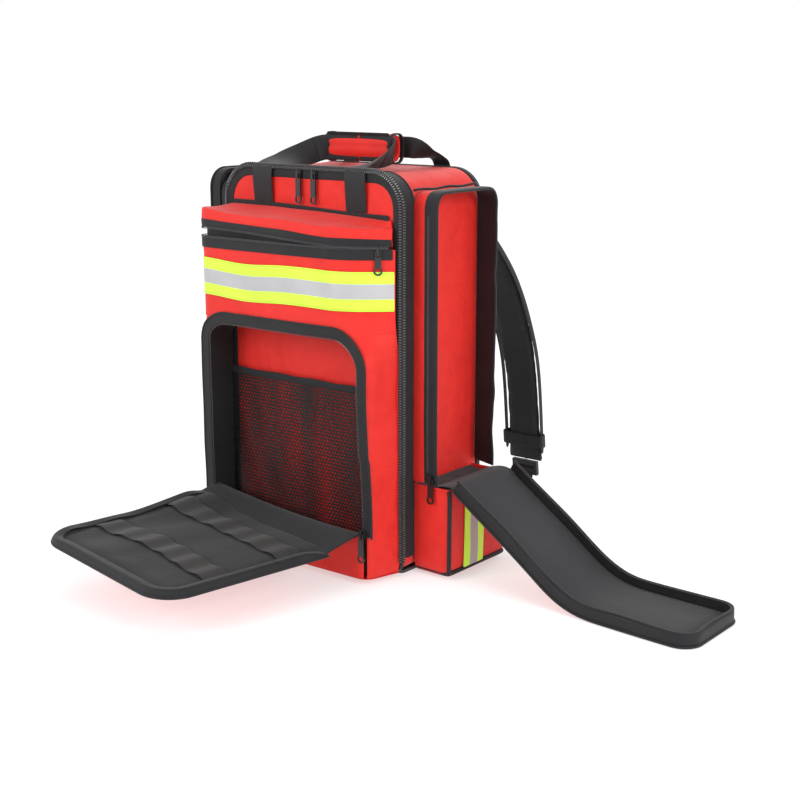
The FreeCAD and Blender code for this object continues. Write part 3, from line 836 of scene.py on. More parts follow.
# ---- Front pocket's mouth
# Black zip tape and binding round the opening, the coil on its inner edge, and a
# black lining on the walls that shows through the open front.
mouth_x0, mouth_x1 = -146 * mm, 126 * mm
mouth_top = 318 * mm
mouth_route = []
for p, out in arch_route(mouth_x0, mouth_x1, flap_hinge_z - 1 * mm, mouth_top, 42 * mm, step=8 * mm):
    flare = mouth_flare(p.z) if p.x > 0 else 0.0
    run = along_front(p.x + out.x * 5.5 * mm + flare)
    z = p.z + out.z * 5.0 * mm
    sway = 1.2 * mm * crease((p.x, 0, p.z), (0.07, 1, 0.06), 6.6)
    mouth_route.append((face_point(run, z, 0.6 * mm + sway), out))
mouth_tape = run_strip("front_pocket_zip_frame", flat_section(14 * mm, 1.8 * mm, -0.4 * mm),
                       [station(p, out, Vector((0, -1, 0))) for p, out in mouth_route], black_tape, level=1)
mouth_piping = run_strip(
    "front_pocket_piping", round_section(1.5 * mm, 8),
    [
        station(p + out * 6.8 * mm + Vector((0, -0.8 * mm, 0)), out, Vector((0, -1, 0)))
        for p, out in mouth_route
    ],
    black_tape
)
coil("front_pocket_coil", [station(p - out * 7.0 * mm, out, Vector((0, -1, 0))) for p, out in mouth_route],
     1.4 * mm, 2.2 * mm, "door")
gusset_section = [
    (-24 * mm, -1 * mm), (24 * mm, -1 * mm), (24 * mm, 0.2 * mm), (8 * mm, 1.6 * mm), (-8 * mm, 0.4 * mm),
    (-24 * mm, 0.4 * mm)
]
inner_route = []
for p, out in arch_route(
    mouth_x0 - 0.5 * mm, mouth_x1 + 5 * mm, 10 * mm, mouth_top + 2.5 * mm, 40 * mm, step=10 * mm
):
    wave = 1.4 * mm * crease((p.x, 0, p.z), (0.05, 1, 0.035), 2.9)
    inner_route.append(
        station(
            Vector((p.x, (pocket_y + front_y) / 2, p.z)) - out * (2.4 * mm + wave), Vector((0, 1, 0)), -out
        )
    )
mouth_lining = run_strip("front_pocket_side_lining", gusset_section, inner_route, black_cloth, level=1)
ride_all("door", mouth_tape, mouth_piping, mouth_lining)
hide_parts("front_pocket_zip_tape")

# ---- Mesh pocket
# Knitted net with a hexagon of small holes, gathered along its foot so that it
# bags in soft vertical folds, bound along its top.
net, net_shader, net_start = new_material("black_net", 0.6)
_, (net_u, net_v, _) = metre_axes(net_start, True)
HOLE_U, HOLE_V = 5.4 * mm, 4.6 * mm
row = net_v * (1 / HOLE_V)
shift = (row * 0.5).fract() > 0.5
cell_u = (net_u * (1 / HOLE_U) + shift * 0.5).fract() - 0.5
cell_v = row.fract() - 0.5
strain = net_start.node(
    "ShaderNodeTexNoise", {"noise_dimensions": "2D"},
    {
        "Vector": net_start.node(
            "ShaderNodeMapping", None,
            {"Vector": metre_axes(net_start, True)[0], "Rotation": (0, 0, -0.35), "Scale": (34.0, 6.0, 1.0)}
        ),
        "Scale": 1.0, "Detail": 1.0
    }
)
hole = (cell_u * cell_u * 1.25 + cell_v * cell_v) < (strain * 0.19 + 0.012)
feed(net_start, net_shader, "Alpha", 1.0 - hole)
net_noise = net_start.node(
    "ShaderNodeTexNoise", None, {"Vector": metre_axes(net_start, True)[0], "Scale": 400.0}
)
shade_colour(net_start, net_shader, (0.003, 0.003, 0.003, 1), (0.018, 0.018, 0.019, 1), net_noise)
net_low, net_high = (Vector(c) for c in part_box("mesh_pocket"))


def net_place(u, v):
    x = net_low.x + (net_high.x - net_low.x) * u
    z = net_low.z + (net_high.z - net_low.z) * v
    bag = math.sin(math.pi * min(v * 1.15, 1)) * (1 - 0.6 * v)
    fold = crease((x + 0.35 * z, 0, z * 0.35), (0.030, 1, 0.06), 1.9) * 3.6 * mm * (1.1 - 0.7 * v)
    hold = ease(0, 0.06, min(u, 1 - u))
    return Vector((x, net_low.y + 1.0 * mm - (4 * mm * bag + fold) * hold - 0.4 * mm, z))


net_cloth = cut_panel(
    "mesh_pocket_net", (net_high.x - net_low.x, net_high.z - net_low.z), (110, 60), net_place, net,
    thick=0.0, level=0
)
net_binding = run_strip(
    "mesh_pocket_top_binding", flat_section(9 * mm, 1.6 * mm, -0.8 * mm),
    [
        station(
            Vector(
                (
                    net_low.x + (net_high.x - net_low.x) * i / 50, net_low.y + 0.3 * mm,
                    net_high.z + 4 * mm + 0.6 * mm * math.sin(i * 0.5)
                )
            ),
            Vector((0, 0, 1)), Vector((0, -1, 0))
        )
        for i in range(51)
    ],
    black_tape, level=1
)
ride_all("door", net_cloth, net_binding)
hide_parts("mesh_pocket")
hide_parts("mesh_pocket_binding")

# ---- Side pockets
# Each side carries an upright pocket: a red strip, a black zip tape folded at its
# edge, a black lining behind, and a red bag under it with bound edges.
black_foam = woven(
    "black_foam_backed_cloth", (0.016, 0.016, 0.018, 1), (0.038, 0.038, 0.041, 1), 1.3, 0.16, 0.80,
    sheen=0.10, folds=1.2
)


def glide(points, steps=8, loop=False):
    """Smooth route through given points (Catmull-Rom)."""
    out = []
    count = len(points)
    spans = count if loop else count - 1
    for i in range(spans):
        pick = [
            points[(i + k) % count] if loop else points[min(max(i + k, 0), count - 1)] for k in (-1, 0, 1, 2)
        ]
        for step in range(steps):
            t = step / steps
            out.append(0.5 * (2 * pick[1] + (pick[2] - pick[0]) * t
                              + (2 * pick[0] - 5 * pick[1] + 4 * pick[2] - pick[3]) * t * t
                              + (3 * pick[1] - pick[0] - 3 * pick[2] + pick[3]) * t * t * t))
    if not loop:
        out.append(points[-1].copy())
    return out


gusset_low, gusset_high = (Vector(c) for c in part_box("side_pocket_gusset_right"))
side_x0, side_x1 = 150 * mm, 186.0 * mm
side_y0, side_y1 = gusset_low.y, 66 * mm
side_z0, side_z1 = gusset_low.z, gusset_high.z
_, bag_high = (Vector(c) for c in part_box("side_pocket_base_right"))
side_line = [
    (Vector((0, p.x, p.z)), Vector((0, out.x, out.z)))
    for p, out in arch_route(
        side_y0 + 1 * mm, side_y1 - 1 * mm, side_z0 + 1 * mm, side_z1 - 2 * mm, 16 * mm, step=7 * mm
    )
]


def side_wall_point(u, x, inward, loose):
    """On the upright pocket's wall: u runs up the front, over the top, down the rear."""
    spot = u * (len(side_line) - 1)
    i = min(int(spot), len(side_line) - 2)
    f = spot - i
    p = side_line[i][0].lerp(side_line[i + 1][0], f)
    out = side_line[i][1].lerp(side_line[i + 1][1], f).normalized()
    rear = ease(0.0, 0.06, p.y)
    slack = (x - side_x0) / (side_x1 - side_x0)
    p = p + Vector((0, 12 * mm * (1 - slack) * rear, 0))
    wave = crease((x * 0.5, p.y * 0.4, p.z), (0.08, 0.08, 0.055), 3.7)
    ripple = crease((x, p.y, p.z), (0.05, 0.05, 0.022), 8.8)
    top = ease(side_z1 - 0.05, side_z1, p.z)
    low = ease(side_z0, side_z0 + 0.05, p.z)
    in_y = loose * slack * low * (
        (5.0 * wave + 1.8 * ripple) * mm * (0.4 + 0.9 * rear) - 2.5 * mm * (1 - rear)
    )
    return Vector((x, 0, 0)) + p - out * (inward + max(in_y, -1.5 * mm)) + Vector(
        (0, 0, -4 * mm * top * slack * loose * (1 - out.z))
    )


def side_panel(name, side, x0, x1, inward, loose, cells, material, thick):
    def place(u, v):
        p = side_wall_point(u, x0 + (x1 - x0) * v, inward, loose)
        p.x += loose * 1.0 * mm * crease((0, p.y, p.z), (1, 0.06, 0.06), 1.1) * ((x1 - side_x0) > 0.03) * v
        return Vector((p.x * side, p.y, p.z))
    length = 2 * (side_z1 - side_z0) + side_y1 - side_y0
    return cut_panel(name, (length, x1 - x0), cells, place, material, thick=thick * (1 if side > 0 else -1))


for side, label in ((1, "right"), (-1, "left")):
    loose = 1.0 if side > 0 else 0.25
    strip = side_panel(
        f"side_pocket_strip_{label}", side, side_x0 - 1 * mm, 169 * mm, 0.0, loose, (110, 6), red_cloth,
        1.3 * mm
    )
    tape = side_panel(
        f"side_pocket_tape_{label}", side, 167.5 * mm, side_x1, -0.4 * mm, loose, (110, 6), black_tape,
        1.3 * mm
    )
    lining = side_panel(
        f"side_pocket_lining_{label}", side, side_x0 - 1 * mm, side_x1 - 1 * mm, 2.6 * mm, loose, (110, 12),
        black_tape, 0.8 * mm
    )
    rim_stations, coil_stations = [], []
    for i in range(0, 120):
        u = i / 119
        p = side_wall_point(u, side_x1, 0.4 * mm, loose)
        q = side_wall_point(u, side_x1 - 12 * mm, -1.4 * mm, loose)
        out = side_line[int(u * (len(side_line) - 1))][1]
        mirror_x = Vector((side, 1, 1))
        rim_stations.append(station(p * mirror_x, out * mirror_x, Vector((side, 0, 0))))
        coil_stations.append(station(q * mirror_x, Vector((side, 0, 0)), out * mirror_x))
    edge_tape = run_strip(f"side_pocket_rim_{label}", round_section(1.9 * mm, 8), rim_stations, black_tape)
    coil(f"side_pocket_coil_{label}", coil_stations[2:48], 1.1 * mm, 2.2 * mm, "pack_body")
    top_seam = run_strip(
        f"side_pocket_top_piping_{label}", round_section(1.6 * mm, 8),
        [
            station(
                Vector(
                    (
                        side * (side_x0 - 0.4 * mm), -61 * mm + 9 * mm * i,
                        side_z1 + 1.4 * mm + 0.8 * mm * math.sin(i)
                    )
                ),
                Vector((side, 0, 0)), Vector((0, 0, 1))
            )
            for i in range(16)
        ],
        black_tape
    )

    def floor_at(u, v):
        y = side_y0 + 2.5 * mm + (side_y1 - side_y0 - 5 * mm) * v
        x = side_x0 - 0.5 * mm + (bag_high.x - 3 * mm - side_x0) * u
        sag = 3.0 * mm * math.sin(math.pi * u) + 1.5 * mm * crease((x, y, 0), (0.04, 0.04, 1), 2.2)
        return Vector((side * x, y, bag_high.z - 3 * mm - sag))

    bag_floor = cut_panel(
        f"side_pocket_floor_{label}", (0.058, 0.125), (12, 24), floor_at, black_foam, thick=1.0 * mm * side
    )
    # the bag below: front, outer face and rear in one length, then its floor
    bag_line = glide(
        [
            Vector((150, -61, 0)), Vector((180, -61.6, 0)), Vector((203, -61, 0)), Vector((207.6, -56, 0)),
            Vector((208.2, -20, 0)), Vector((208.2, 20, 0)), Vector((207.6, 60, 0)), Vector((203, 65, 0)),
            Vector((180, 65.4, 0)), Vector((150, 65, 0))
        ],
        6
    )

    def bag_at(u, v):
        spot = u * (len(bag_line) - 1)
        i = min(int(spot), len(bag_line) - 2)
        p = bag_line[i].lerp(bag_line[i + 1], spot - i) * mm
        z = 7 * mm + (bag_high.z - 8 * mm) * v
        bulge = 1.0 * mm * crease((p.x, p.y, z), (0.05, 0.05, 0.04), 4.9 + side) * math.sin(math.pi * v)
        tuck = 3 * mm * (1 - ease(0, 0.12, v))
        middle = Vector((150 * mm, 2 * mm, 0))
        way = Vector((p.x - middle.x, (p.y - middle.y) * 0.6, 0)).normalized()
        p = p + way * (bulge - tuck)
        return Vector((side * p.x, p.y, z))

    bag = cut_panel(f"side_bag_{label}", (0.245, 0.117), (72, 20), bag_at, red_cloth, thick=1.4 * mm * side)

    def under_at(u, v):
        edge = bag_at(u, 0.0)
        p = edge.lerp(Vector((side * 150 * mm, edge.y * 0.9, edge.z)), v)
        p.z -= 1.2 * mm * math.sin(math.pi * v)
        return p

    bag_under = cut_panel(
        f"side_bag_floor_{label}", (0.245, 0.05), (48, 6), under_at, red_cloth, thick=1.0 * mm
    )
    corner_line = glide(
        [
            Vector((207.2, -60.6, 8)), Vector((207.8, -61, 40)), Vector((208.0, -61, 80)),
            Vector((207.6, -60.6, 112)), Vector((205, -60, 121))
        ],
        5
    )
    corner_tape = run_strip(
        f"side_bag_edge_{label}", round_section(3.0 * mm, 10),
        [
            station(Vector((side * p.x, p.y, p.z)) * mm, Vector((side, -1, 0)), Vector((side, 1, 0)))
            for p in corner_line
        ],
        black_tape
    )
    foot_line = [
        station(
            bag_at(0.02 + 0.96 * i / 60, 0.01) + Vector((0, 0, 0.6 * mm)), Vector((0, 0, 1)),
            Vector((side, -0.01, 0))
        )
        for i in range(61)
    ]
    foot_tape = run_strip(f"side_bag_foot_{label}", round_section(3.6 * mm, 10), foot_line, black_tape)

    def side_band_at(u, v):
        z = 11 * mm + 107 * mm * u
        y = (-32 + 44 * v + 2 * math.sin(u * 2.4)) * mm
        return Vector(
            (side * (bag_high.x + 0.5 * mm + 0.7 * mm * math.sin(u * 9) * math.sin(math.pi * v)), y, z)
        )

    side_tape = cut_panel(
        f"side_reflective_band_{label}", (0.107, BAND), (30, 10), side_band_at, reflective,
        thick=0.5 * mm * side
    )
    join_at = [
        station(
            Vector((side * (150 + 56 * i / 14) * mm, -62.4 * mm, 121 * mm)), Vector((0, 0, 1)),
            Vector((0, -1, 0))
        )
        for i in range(15)
    ]
    join = run_strip(f"side_bag_seam_{label}", round_section(1.0 * mm, 6), join_at, red_cloth)
    ride_all(
        "pack_body", strip, tape, lining, edge_tape, top_seam, bag_floor, bag, bag_under, corner_tape,
        foot_tape, side_tape, join
    )
    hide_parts(f"side_pocket_gusset_{label}")
    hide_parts(f"side_pocket_zip_tape_{label}")
    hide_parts(f"side_pocket_base_{label}")
    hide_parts(f"side_band_{label}")

# ---- Side flaps
# Foam-backed black cloth inside, red outside, a zip rim standing round three edges.
# The right one lies open and bends where it reaches the ground; the left is shut.
hinge_x, hinge_z = 208.8 * mm, 124 * mm
BEND = 214 * mm
DROP = math.radians(35)
flap_len = {"right": 390 * mm, "left": 390 * mm}
FLAP_HALF = 65 * mm


def flap_frame(side, s):
    """Point on the skin's inner face, its direction along and its direction up."""
    if side < 0:
        return (Vector((-hinge_x + 2.6 * mm, 0, hinge_z + s)), Vector((0, 0, 1)), Vector((1, 0, 0)))
    along0 = Vector((math.cos(DROP), 0, -math.sin(DROP)))
    turn = ease(BEND - 0.055, BEND + 0.055, s)
    a = DROP * (1 - turn)
    along = Vector((math.cos(a), 0, -math.sin(a)))
    up = Vector((math.sin(a), 0, math.cos(a)))
    origin = Vector((hinge_x, 0, hinge_z))
    if s <= BEND - 0.055:
        p = origin + along0 * s
    else:
        p = origin + along0 * (BEND - 0.055)
        steps = 12
        run = s - (BEND - 0.055)
        for k in range(steps):
            mid = BEND - 0.055 + run * (k + 0.5) / steps
            b = DROP * (1 - ease(BEND - 0.055, BEND + 0.055, mid))
            p = p + Vector((math.cos(b), 0, -math.sin(b))) * (run / steps)
    return (p + up * 3.2 * mm, along, up)


def flap_point(side, s, y, h):
    p, _, up = flap_frame(side, s)
    drift = -16 * mm * ease(0.10, 0.42, s) if side > 0 else 0.0
    return p + up * h + Vector((0, y * (1 + 0.5 * abs(drift)) + 2 * mm + drift, 0))


def flap_edge_line(length, inset, step=8 * mm):
    # (s, y, outward in s, outward in y) round the three free edges
    made = []
    for p, out in arch_route(
        -FLAP_HALF + inset, FLAP_HALF - inset, 3 * mm, length - inset, 26 * mm - inset, step=step
    ):
        made.append((p.z, p.x, out.z, out.x))
    return made


for side, label in ((1, "right"), (-1, "left")):
    length = flap_len[label] - (0 if side > 0 else 2 * mm)
    loose = 1.0 if side > 0 else 0.3

    def inner_at(u, v):
        y, s = rounded(
            u, v, -FLAP_HALF + 2 * mm, FLAP_HALF - 2 * mm, 2 * mm, length - 2 * mm, 24 * mm, 1 * mm
        )
        edge = min(u, 1 - u, (1 - v) * 2.5)
        soft = ease(0, 0.16, edge)
        h = 2.2 * mm * soft + loose * 1.6 * mm * crease((s, y, 0), (0.09, 0.05, 1), 6.1) * soft
        return flap_point(side, s, y, h)

    def outer_at(u, v):
        y, s = rounded(
            u, v, -FLAP_HALF + 1 * mm, FLAP_HALF - 1 * mm, 2 * mm, length - 1 * mm, 24 * mm, 1 * mm
        )
        return flap_point(side, s, y, -1.6 * mm + 0.5 * mm * crease((s, y, 0), (0.07, 0.05, 1), 3.3))

    foam = cut_panel(
        f"side_flap_lining_{label}", (2 * FLAP_HALF, length), (30, 84), inner_at, black_foam, thick=1.0 * mm
    )
    skin = cut_panel(
        f"side_flap_skin_{label}", (2 * FLAP_HALF, length), (30, 84), outer_at, red_cloth, thick=1.2 * mm,
        offset=1.0
    )
    rim_section = [
        (-0.8 * mm, -1.4 * mm), (0.8 * mm, -1.4 * mm), (0.9 * mm, 7 * mm), (0.7 * mm, 14 * mm),
        (-0.7 * mm, 14 * mm), (-0.9 * mm, 7 * mm)
    ]
    rim_at, bind_at, coil_at, foot_at = [], [], [], []
    for s, y, out_s, out_y in flap_edge_line(length, 1.0 * mm):
        lean = loose * (4.0 * mm * crease((s, y, 0), (0.07, 0.07, 1), 9.4) + 2.2 * mm)
        p, along, up = flap_frame(side, s)
        out = along * out_s + Vector((0, out_y, 0))
        base = flap_point(side, s, y, 0)
        tip = flap_point(side, s, y, 14.5 * mm) - out * lean
        rim_up = (tip - base).normalized()
        rim_at.append(station(base, out, rim_up))
        bind_at.append(station(tip, out, rim_up))
        coil_at.append(station(tip - out * 2.0 * mm + rim_up * 0.4 * mm, out, rim_up))
        foot_at.append(station(base + out * 0.9 * mm - up * 1.4 * mm, out, rim_up))
    rim = run_strip(f"side_flap_rim_{label}", rim_section, rim_at, black_tape, level=1)
    bind = run_strip(f"side_flap_rim_binding_{label}", round_section(1.7 * mm, 8), bind_at, black_tape)
    foot = run_strip(f"side_flap_piping_{label}", round_section(1.6 * mm, 8), foot_at, black_tape)
    rim_coil = coil(f"side_flap_coil_{label}", coil_at, 1.0 * mm, 2.2 * mm, None)

    def root_at(u, v):
        y = -FLAP_HALF + 1 * mm + (2 * FLAP_HALF - 2 * mm) * v
        if side < 0:
            s = -12 * mm + 20 * mm * u
            return Vector((-hinge_x + 1.4 * mm + 0.4 * mm * math.sin(math.pi * u), y + 2 * mm, hinge_z + s))
        t = u * 1.0
        a, b = Vector((178 * mm, 0, 121 * mm)), Vector((203 * mm, 0, 130 * mm))
        c = flap_point(1, 2 * mm, 0, 3.4 * mm)
        d = flap_point(1, 16 * mm, 0, 1.5 * mm)
        p = a * (1 - t) ** 3 + b * (3 * t * (1 - t) ** 2) + c * (3 * t * t * (1 - t)) + d * t ** 3
        return Vector((p.x, y + 2 * mm, p.z))

    root = cut_panel(
        f"side_flap_root_{label}", (0.05, 2 * FLAP_HALF), (16, 30), root_at, black_foam,
        thick=1.2 * mm * side
    )
    pieces = [foam, skin, rim, bind, foot, rim_coil]
    mid, way = (flap_frame(side, BEND)[0], flap_frame(side, BEND)[1])
    for piece in pieces:
        tuple(mid - way * 0.05)
        tuple(mid + way * 0.05)
        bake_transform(piece)
    if side > 0:
        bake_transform(root)
    else:
        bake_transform(root)
    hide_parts(f"side_flap_upper_{label}", f"side_flap_lower_{label}")

# ---- Front flap
# The lower pocket's lid, lying open: foam-backed black cloth inside with two rows
# of elastic loops, red cloth outside, and a folded rim with half of the zip.
black_webbing = woven(
    "black_webbing", (0.004, 0.004, 0.005, 1), (0.021, 0.021, 0.023, 1), 1.7, 0.30, 0.55, ribs=True
)

lid_pivot = Vector((mouth_x0, -156.1 * mm, flap_hinge_z))
lid_turn = Matrix.Rotation(math.radians(90.0309), 4, Vector((0.994411, -0.043417, -0.096237)))
lid_place = Matrix.Translation(lid_pivot) @ lid_turn @ Matrix.Translation(-lid_pivot)
lid_x0, lid_x1 = -145.4 * mm, 125.4 * mm
lid_z0, lid_z1 = 65 * mm, 318 * mm
lid_skin = -156.1 * mm
LID_R = 42 * mm


def lid_point(x, z, h):
    # h is the height above the outer skin, drawn shut and then laid open
    left = 1 - ease(lid_x0, lid_x0 + 0.15, x)
    lift = 12 * mm * left * left * (1 - ease(0.0, 0.13, z - lid_z0))
    return lid_place @ Vector((x, lid_skin + h + lift, z))


def lid_wave(x, z):
    cross = crease((x + z * 0.15, 0, z * 0.25), (0.060, 1, 0.06), 5.5)
    return 3.0 * mm * cross + 1.2 * mm * crease((x, 0, z), (0.05, 1, 0.06), 2.7)


def lid_inner(x, z):
    edge = min(x - lid_x0, lid_x1 - x, lid_z1 - z)
    soft = ease(2 * mm, 34 * mm, edge)
    return 5.0 * mm + soft * (3.6 * mm + lid_wave(x, z))


def lid_inner_at(u, v):
    x, z = rounded(u, v, lid_x0 + 2 * mm, lid_x1 - 2 * mm, lid_z0, lid_z1 - 2 * mm, LID_R - 2 * mm, 1 * mm)
    return lid_point(x, z, lid_inner(x, z))


def lid_outer_at(u, v):
    x, z = rounded(u, v, lid_x0 + 1 * mm, lid_x1 - 1 * mm, lid_z0, lid_z1 - 1 * mm, LID_R - 1 * mm, 1 * mm)
    return lid_point(x, z, 0.6 * mm + 0.6 * mm * crease((x, 0, z), (0.08, 1, 0.08), 8.2))


# the side flaps' foam-backed cloth again, its colour painted darker than theirs as shade on the lid
shaded_lid_foam = woven(
    "lid_foam_cloth_painted_shade", (0.008, 0.008, 0.009, 1), (0.021, 0.021, 0.023, 1), 1.3, 0.16, 0.80, folds=1.2
)
lid_lining = cut_panel(
    "front_flap_lining", (lid_x1 - lid_x0, lid_z1 - lid_z0), (64, 64), lid_inner_at, shaded_lid_foam,
    thick=-2.0 * mm
)
lid_skin_cloth = cut_panel(
    "front_flap_skin", (lid_x1 - lid_x0, lid_z1 - lid_z0), (50, 50), lid_outer_at, red_cloth, thick=1.4 * mm
)
lid_rim_at, lid_fold_at, lid_foot_at, lid_coil_at = [], [], [], []
for p, out in arch_route(
    lid_x0 + 1.2 * mm, lid_x1 - 1.2 * mm, lid_z0 + 2 * mm, lid_z1 - 1.2 * mm, LID_R, step=7 * mm
):
    left = ease(-0.08, -0.14, p.x)
    gather = left * (2.2 * mm * math.sin(p.z * 95) + 1.5 * mm * crease((0, 0, p.z), (1, 1, 0.03), 1.7))
    lean = 2.0 * mm + 2.6 * mm * ease(0, 0.05, p.z - lid_z0) + gather
    out_w = (lid_place.to_3x3() @ out).normalized()
    rise = ease(-0.002, 0.035, p.z - lid_z0)
    foot_p = lid_point(p.x, p.z, 3.0 * mm)
    top_p = lid_point(p.x - out.x * lean, p.z - out.z * lean, 4.4 * mm + (7.0 * mm + gather * 0.5) * rise)
    fold_p = lid_point(
        p.x - out.x * (lean + 11 * mm), p.z - out.z * (lean + 11 * mm),
        5.0 * mm + (4.6 * mm + gather * 0.9) * rise
    )
    lid_foot_at.append(station(foot_p + out_w * 0.4 * mm, out_w, (top_p - foot_p).normalized()))
    lid_rim_at.append((foot_p, top_p, fold_p, out_w))
    lid_coil_at.append(
        station(
            top_p + out_w * 0.3 * mm - (top_p - foot_p).normalized() * 3.2 * mm, out_w,
            (top_p - foot_p).normalized()
        )
    )


def lid_rim_place(u, v):
    spot = u * (len(lid_rim_at) - 1)
    i = min(int(spot), len(lid_rim_at) - 2)
    a, b = lid_rim_at[i], lid_rim_at[i + 1]
    foot_p, top_p, fold_p = (a[k].lerp(b[k], spot - i) for k in range(3))
    out_w = a[3].lerp(b[3], spot - i)
    if v < 0.45:
        return foot_p.lerp(top_p, v / 0.45) + out_w * (1.2 * mm * math.sin(math.pi * v / 0.45))
    return top_p.lerp(fold_p, (v - 0.45) / 0.55)


lid_rim = cut_panel(
    "front_flap_rim_tape", (0.79, 22 * mm), (130, 10), lid_rim_place, black_tape, thick=-1.0 * mm
)
lid_foot = run_strip("front_flap_piping", round_section(1.9 * mm, 8), lid_foot_at, black_tape)
coil("front_flap_coil", lid_coil_at, 1.0 * mm, 2.2 * mm, "front_flap")
ROW = 36 * mm
LOOPS = 6


def elastic_row(name, z_low, swing, node):
    x_from, x_to = -136 * mm, 113 * mm

    def at(u, v):
        x = x_from + (x_to - x_from) * u
        part = (u * LOOPS) % 1.0
        puff = math.sin(math.pi * part) ** 2
        z = z_low + ROW * v + swing * math.sin(u * 8.2 + 0.6) - 1.2 * mm * (1 - puff) * (0.5 - v)
        h = lid_inner(x, z) + 1.2 * mm + 2.4 * mm * puff
        return lid_point(x, z, h)

    row = cut_panel(name, (x_to - x_from, ROW), (96, 8), at, elastic, thick=1.2 * mm)
    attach(row, "front_flap")
    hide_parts(node)
    tacks = bmesh.new()
    for i in range(LOOPS + 1):
        for edge in (0.04, 0.96):
            centre = at(min(max(i / LOOPS, 0.004), 0.996), edge)
            away = at(min(max(i / LOOPS, 0.004), 0.996), 0.5)
            knot = station(centre, away - centre, lid_place.to_3x3() @ Vector((0, 1, 0)))
            knot = knot @ Matrix.Translation((3 * mm, 0.2 * mm, 0)) @ Matrix.Diagonal(
                (8 * mm, 1.2 * mm, 1.6 * mm, 1)
            )
            bmesh.ops.create_cube(tacks, size=1.0, matrix=knot)
    bmesh.ops.bevel(
        tacks, geom=tacks.edges[:], offset=0.3 * mm, segments=1, affect="EDGES", profile=0.5, material=-1
    )
    sewn_tacks = finish(name + "_bar_tacks", tacks, black_webbing)
    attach(sewn_tacks, "front_flap")
    return row


elastic = woven(
    "black_elastic", (0.012, 0.012, 0.012, 1), (0.036, 0.034, 0.033, 1), 1.2, 0.25, 0.70, ribs=True
)
elastic_row("elastic_loops_inner", 98 * mm, 1.5 * mm, "elastic_row_inner")
elastic_row("elastic_loops_outer", 206 * mm, 3.5 * mm, "elastic_row_outer")


def lid_root_at(u, v):
    x0, x1 = lid_x0 + 2 * mm, lid_x1 - 2 * mm
    x = x0 + (x1 - x0) * v
    a = Vector((x, pocket_y + 16 * mm, flap_hinge_z - 0.5 * mm + 22 * mm * (1 - v) ** 2))
    b = Vector((x, pocket_y - 4 * mm, flap_hinge_z + 7 * mm + 16 * mm * (1 - v) ** 2))
    c = lid_point(x, lid_z0 - 2 * mm, 5.4 * mm)
    d = lid_point(x, lid_z0 + 10 * mm, 5.6 * mm)
    t = u
    return a * (1 - t) ** 3 + b * (3 * t * (1 - t) ** 2) + c * (3 * t * t * (1 - t)) + d * t ** 3


# the lid's root takes the same foam cloth with its colour painted darker as shade
lid_root = cut_panel(
    "front_flap_root", (0.03, lid_x1 - lid_x0), (14, 60), lid_root_at, shaded_lid_foam, thick=1.4 * mm
)
ride_all("front_flap", lid_lining, lid_skin_cloth, lid_rim, lid_foot)
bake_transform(lid_root)
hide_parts("front_flap_panel")
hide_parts("front_flap_rim")

# ---- Carry loops and grip
# Two loops of ribbed black web, one sewn to the door and one to the back. A padded red
# wrap with a bound edge closes round the door's loop; the back's loop passes behind it.
grip_low, grip_high = (Vector(c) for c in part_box("handle_wrap"))
grip_mid = (grip_low + grip_high) / 2


def web_stations(points, across_list, face_list, steps=8):
    line = glide([Vector(p) * mm for p in points], steps)
    made = []
    last = len(line) - 1
    for i, p in enumerate(line):
        spot = i / last * (len(points) - 1)
        k = min(int(spot), len(points) - 2)
        f = spot - k
        across = Vector(across_list[k]).lerp(Vector(across_list[k + 1]), f)
        face = Vector(face_list[k]).lerp(Vector(face_list[k + 1]), f)
        along = (line[min(i + 1, last)] - line[max(i - 1, 0)]).normalized()
        across = (across - along * across.dot(along)).normalized()
        made.append(station(p, across, face - along * face.dot(along)))
    return made


front_points = [
    (80, -90.0, 470), (80, -91.4, 484), (80, -93.2, 512), (78, -86.5, 524.5), (74, -58, 529), (71, -22, 534),
    (65, 4, 541), (50, 9, 543), (0, 10, 543)
]
front_across = [
    (1, 0, 0), (1, 0, 0), (1, 0, 0), (1, 0, 0), (0.9, 0.1, 0.35), (0.55, 0.1, 0.8), (0.15, 0, 1), (0, 0, 1),
    (0, 0, 1)
]
front_face = [
    (0, -1, 0), (0, -1, 0), (0, -1, 0.2), (0, -0.7, 0.8), (-0.4, -0.3, 0.9), (0.5, -0.5, 0.5),
    (0.4, -1, 0.1), (0, -1, 0), (0, -1, 0)
]
rear_points = [
    (80, 88.8, 456), (80, 89.2, 500), (80, 88.6, 520), (79, 80, 530), (75, 60, 536), (68, 42, 544),
    (50, 39.5, 545), (0, 39.5, 545)
]
rear_across = [(1, 0, 0), (1, 0, 0), (1, 0, 0), (1, 0, 0), (0.9, 0, 0.4), (0.2, 0, 1), (0, 0, 1), (0, 0, 1)]
rear_face = [
    (0, 1, 0), (0, 1, 0), (0, 1, 0.3), (0, 0.6, 0.8), (-0.2, 0.3, 1), (0, 1, 0.2), (0, 1, 0), (0, 1, 0)
]


def carry_loop(name, points, across, face, width, node):
    def flip(rows):
        return [(-a, b, c) for a, b, c in rows]
    for label, turn in (("right", lambda rows: rows), ("left", flip)):
        at = web_stations(turn(points), turn(across), face if label == "right" else flip(face))
        leg = run_strip(
            f"{name}_{label}", flat_section(width, 1.8 * mm, -0.9 * mm), at, black_webbing, level=1
        )
        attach(leg, "pack_body" if node == "rear_carry_loop" else "door")
        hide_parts(node)


carry_loop("front_loop", front_points, front_across, front_face, 34 * mm, "front_carry_loop")
carry_loop("rear_loop", rear_points, rear_across, rear_face, 28 * mm, "rear_carry_loop")


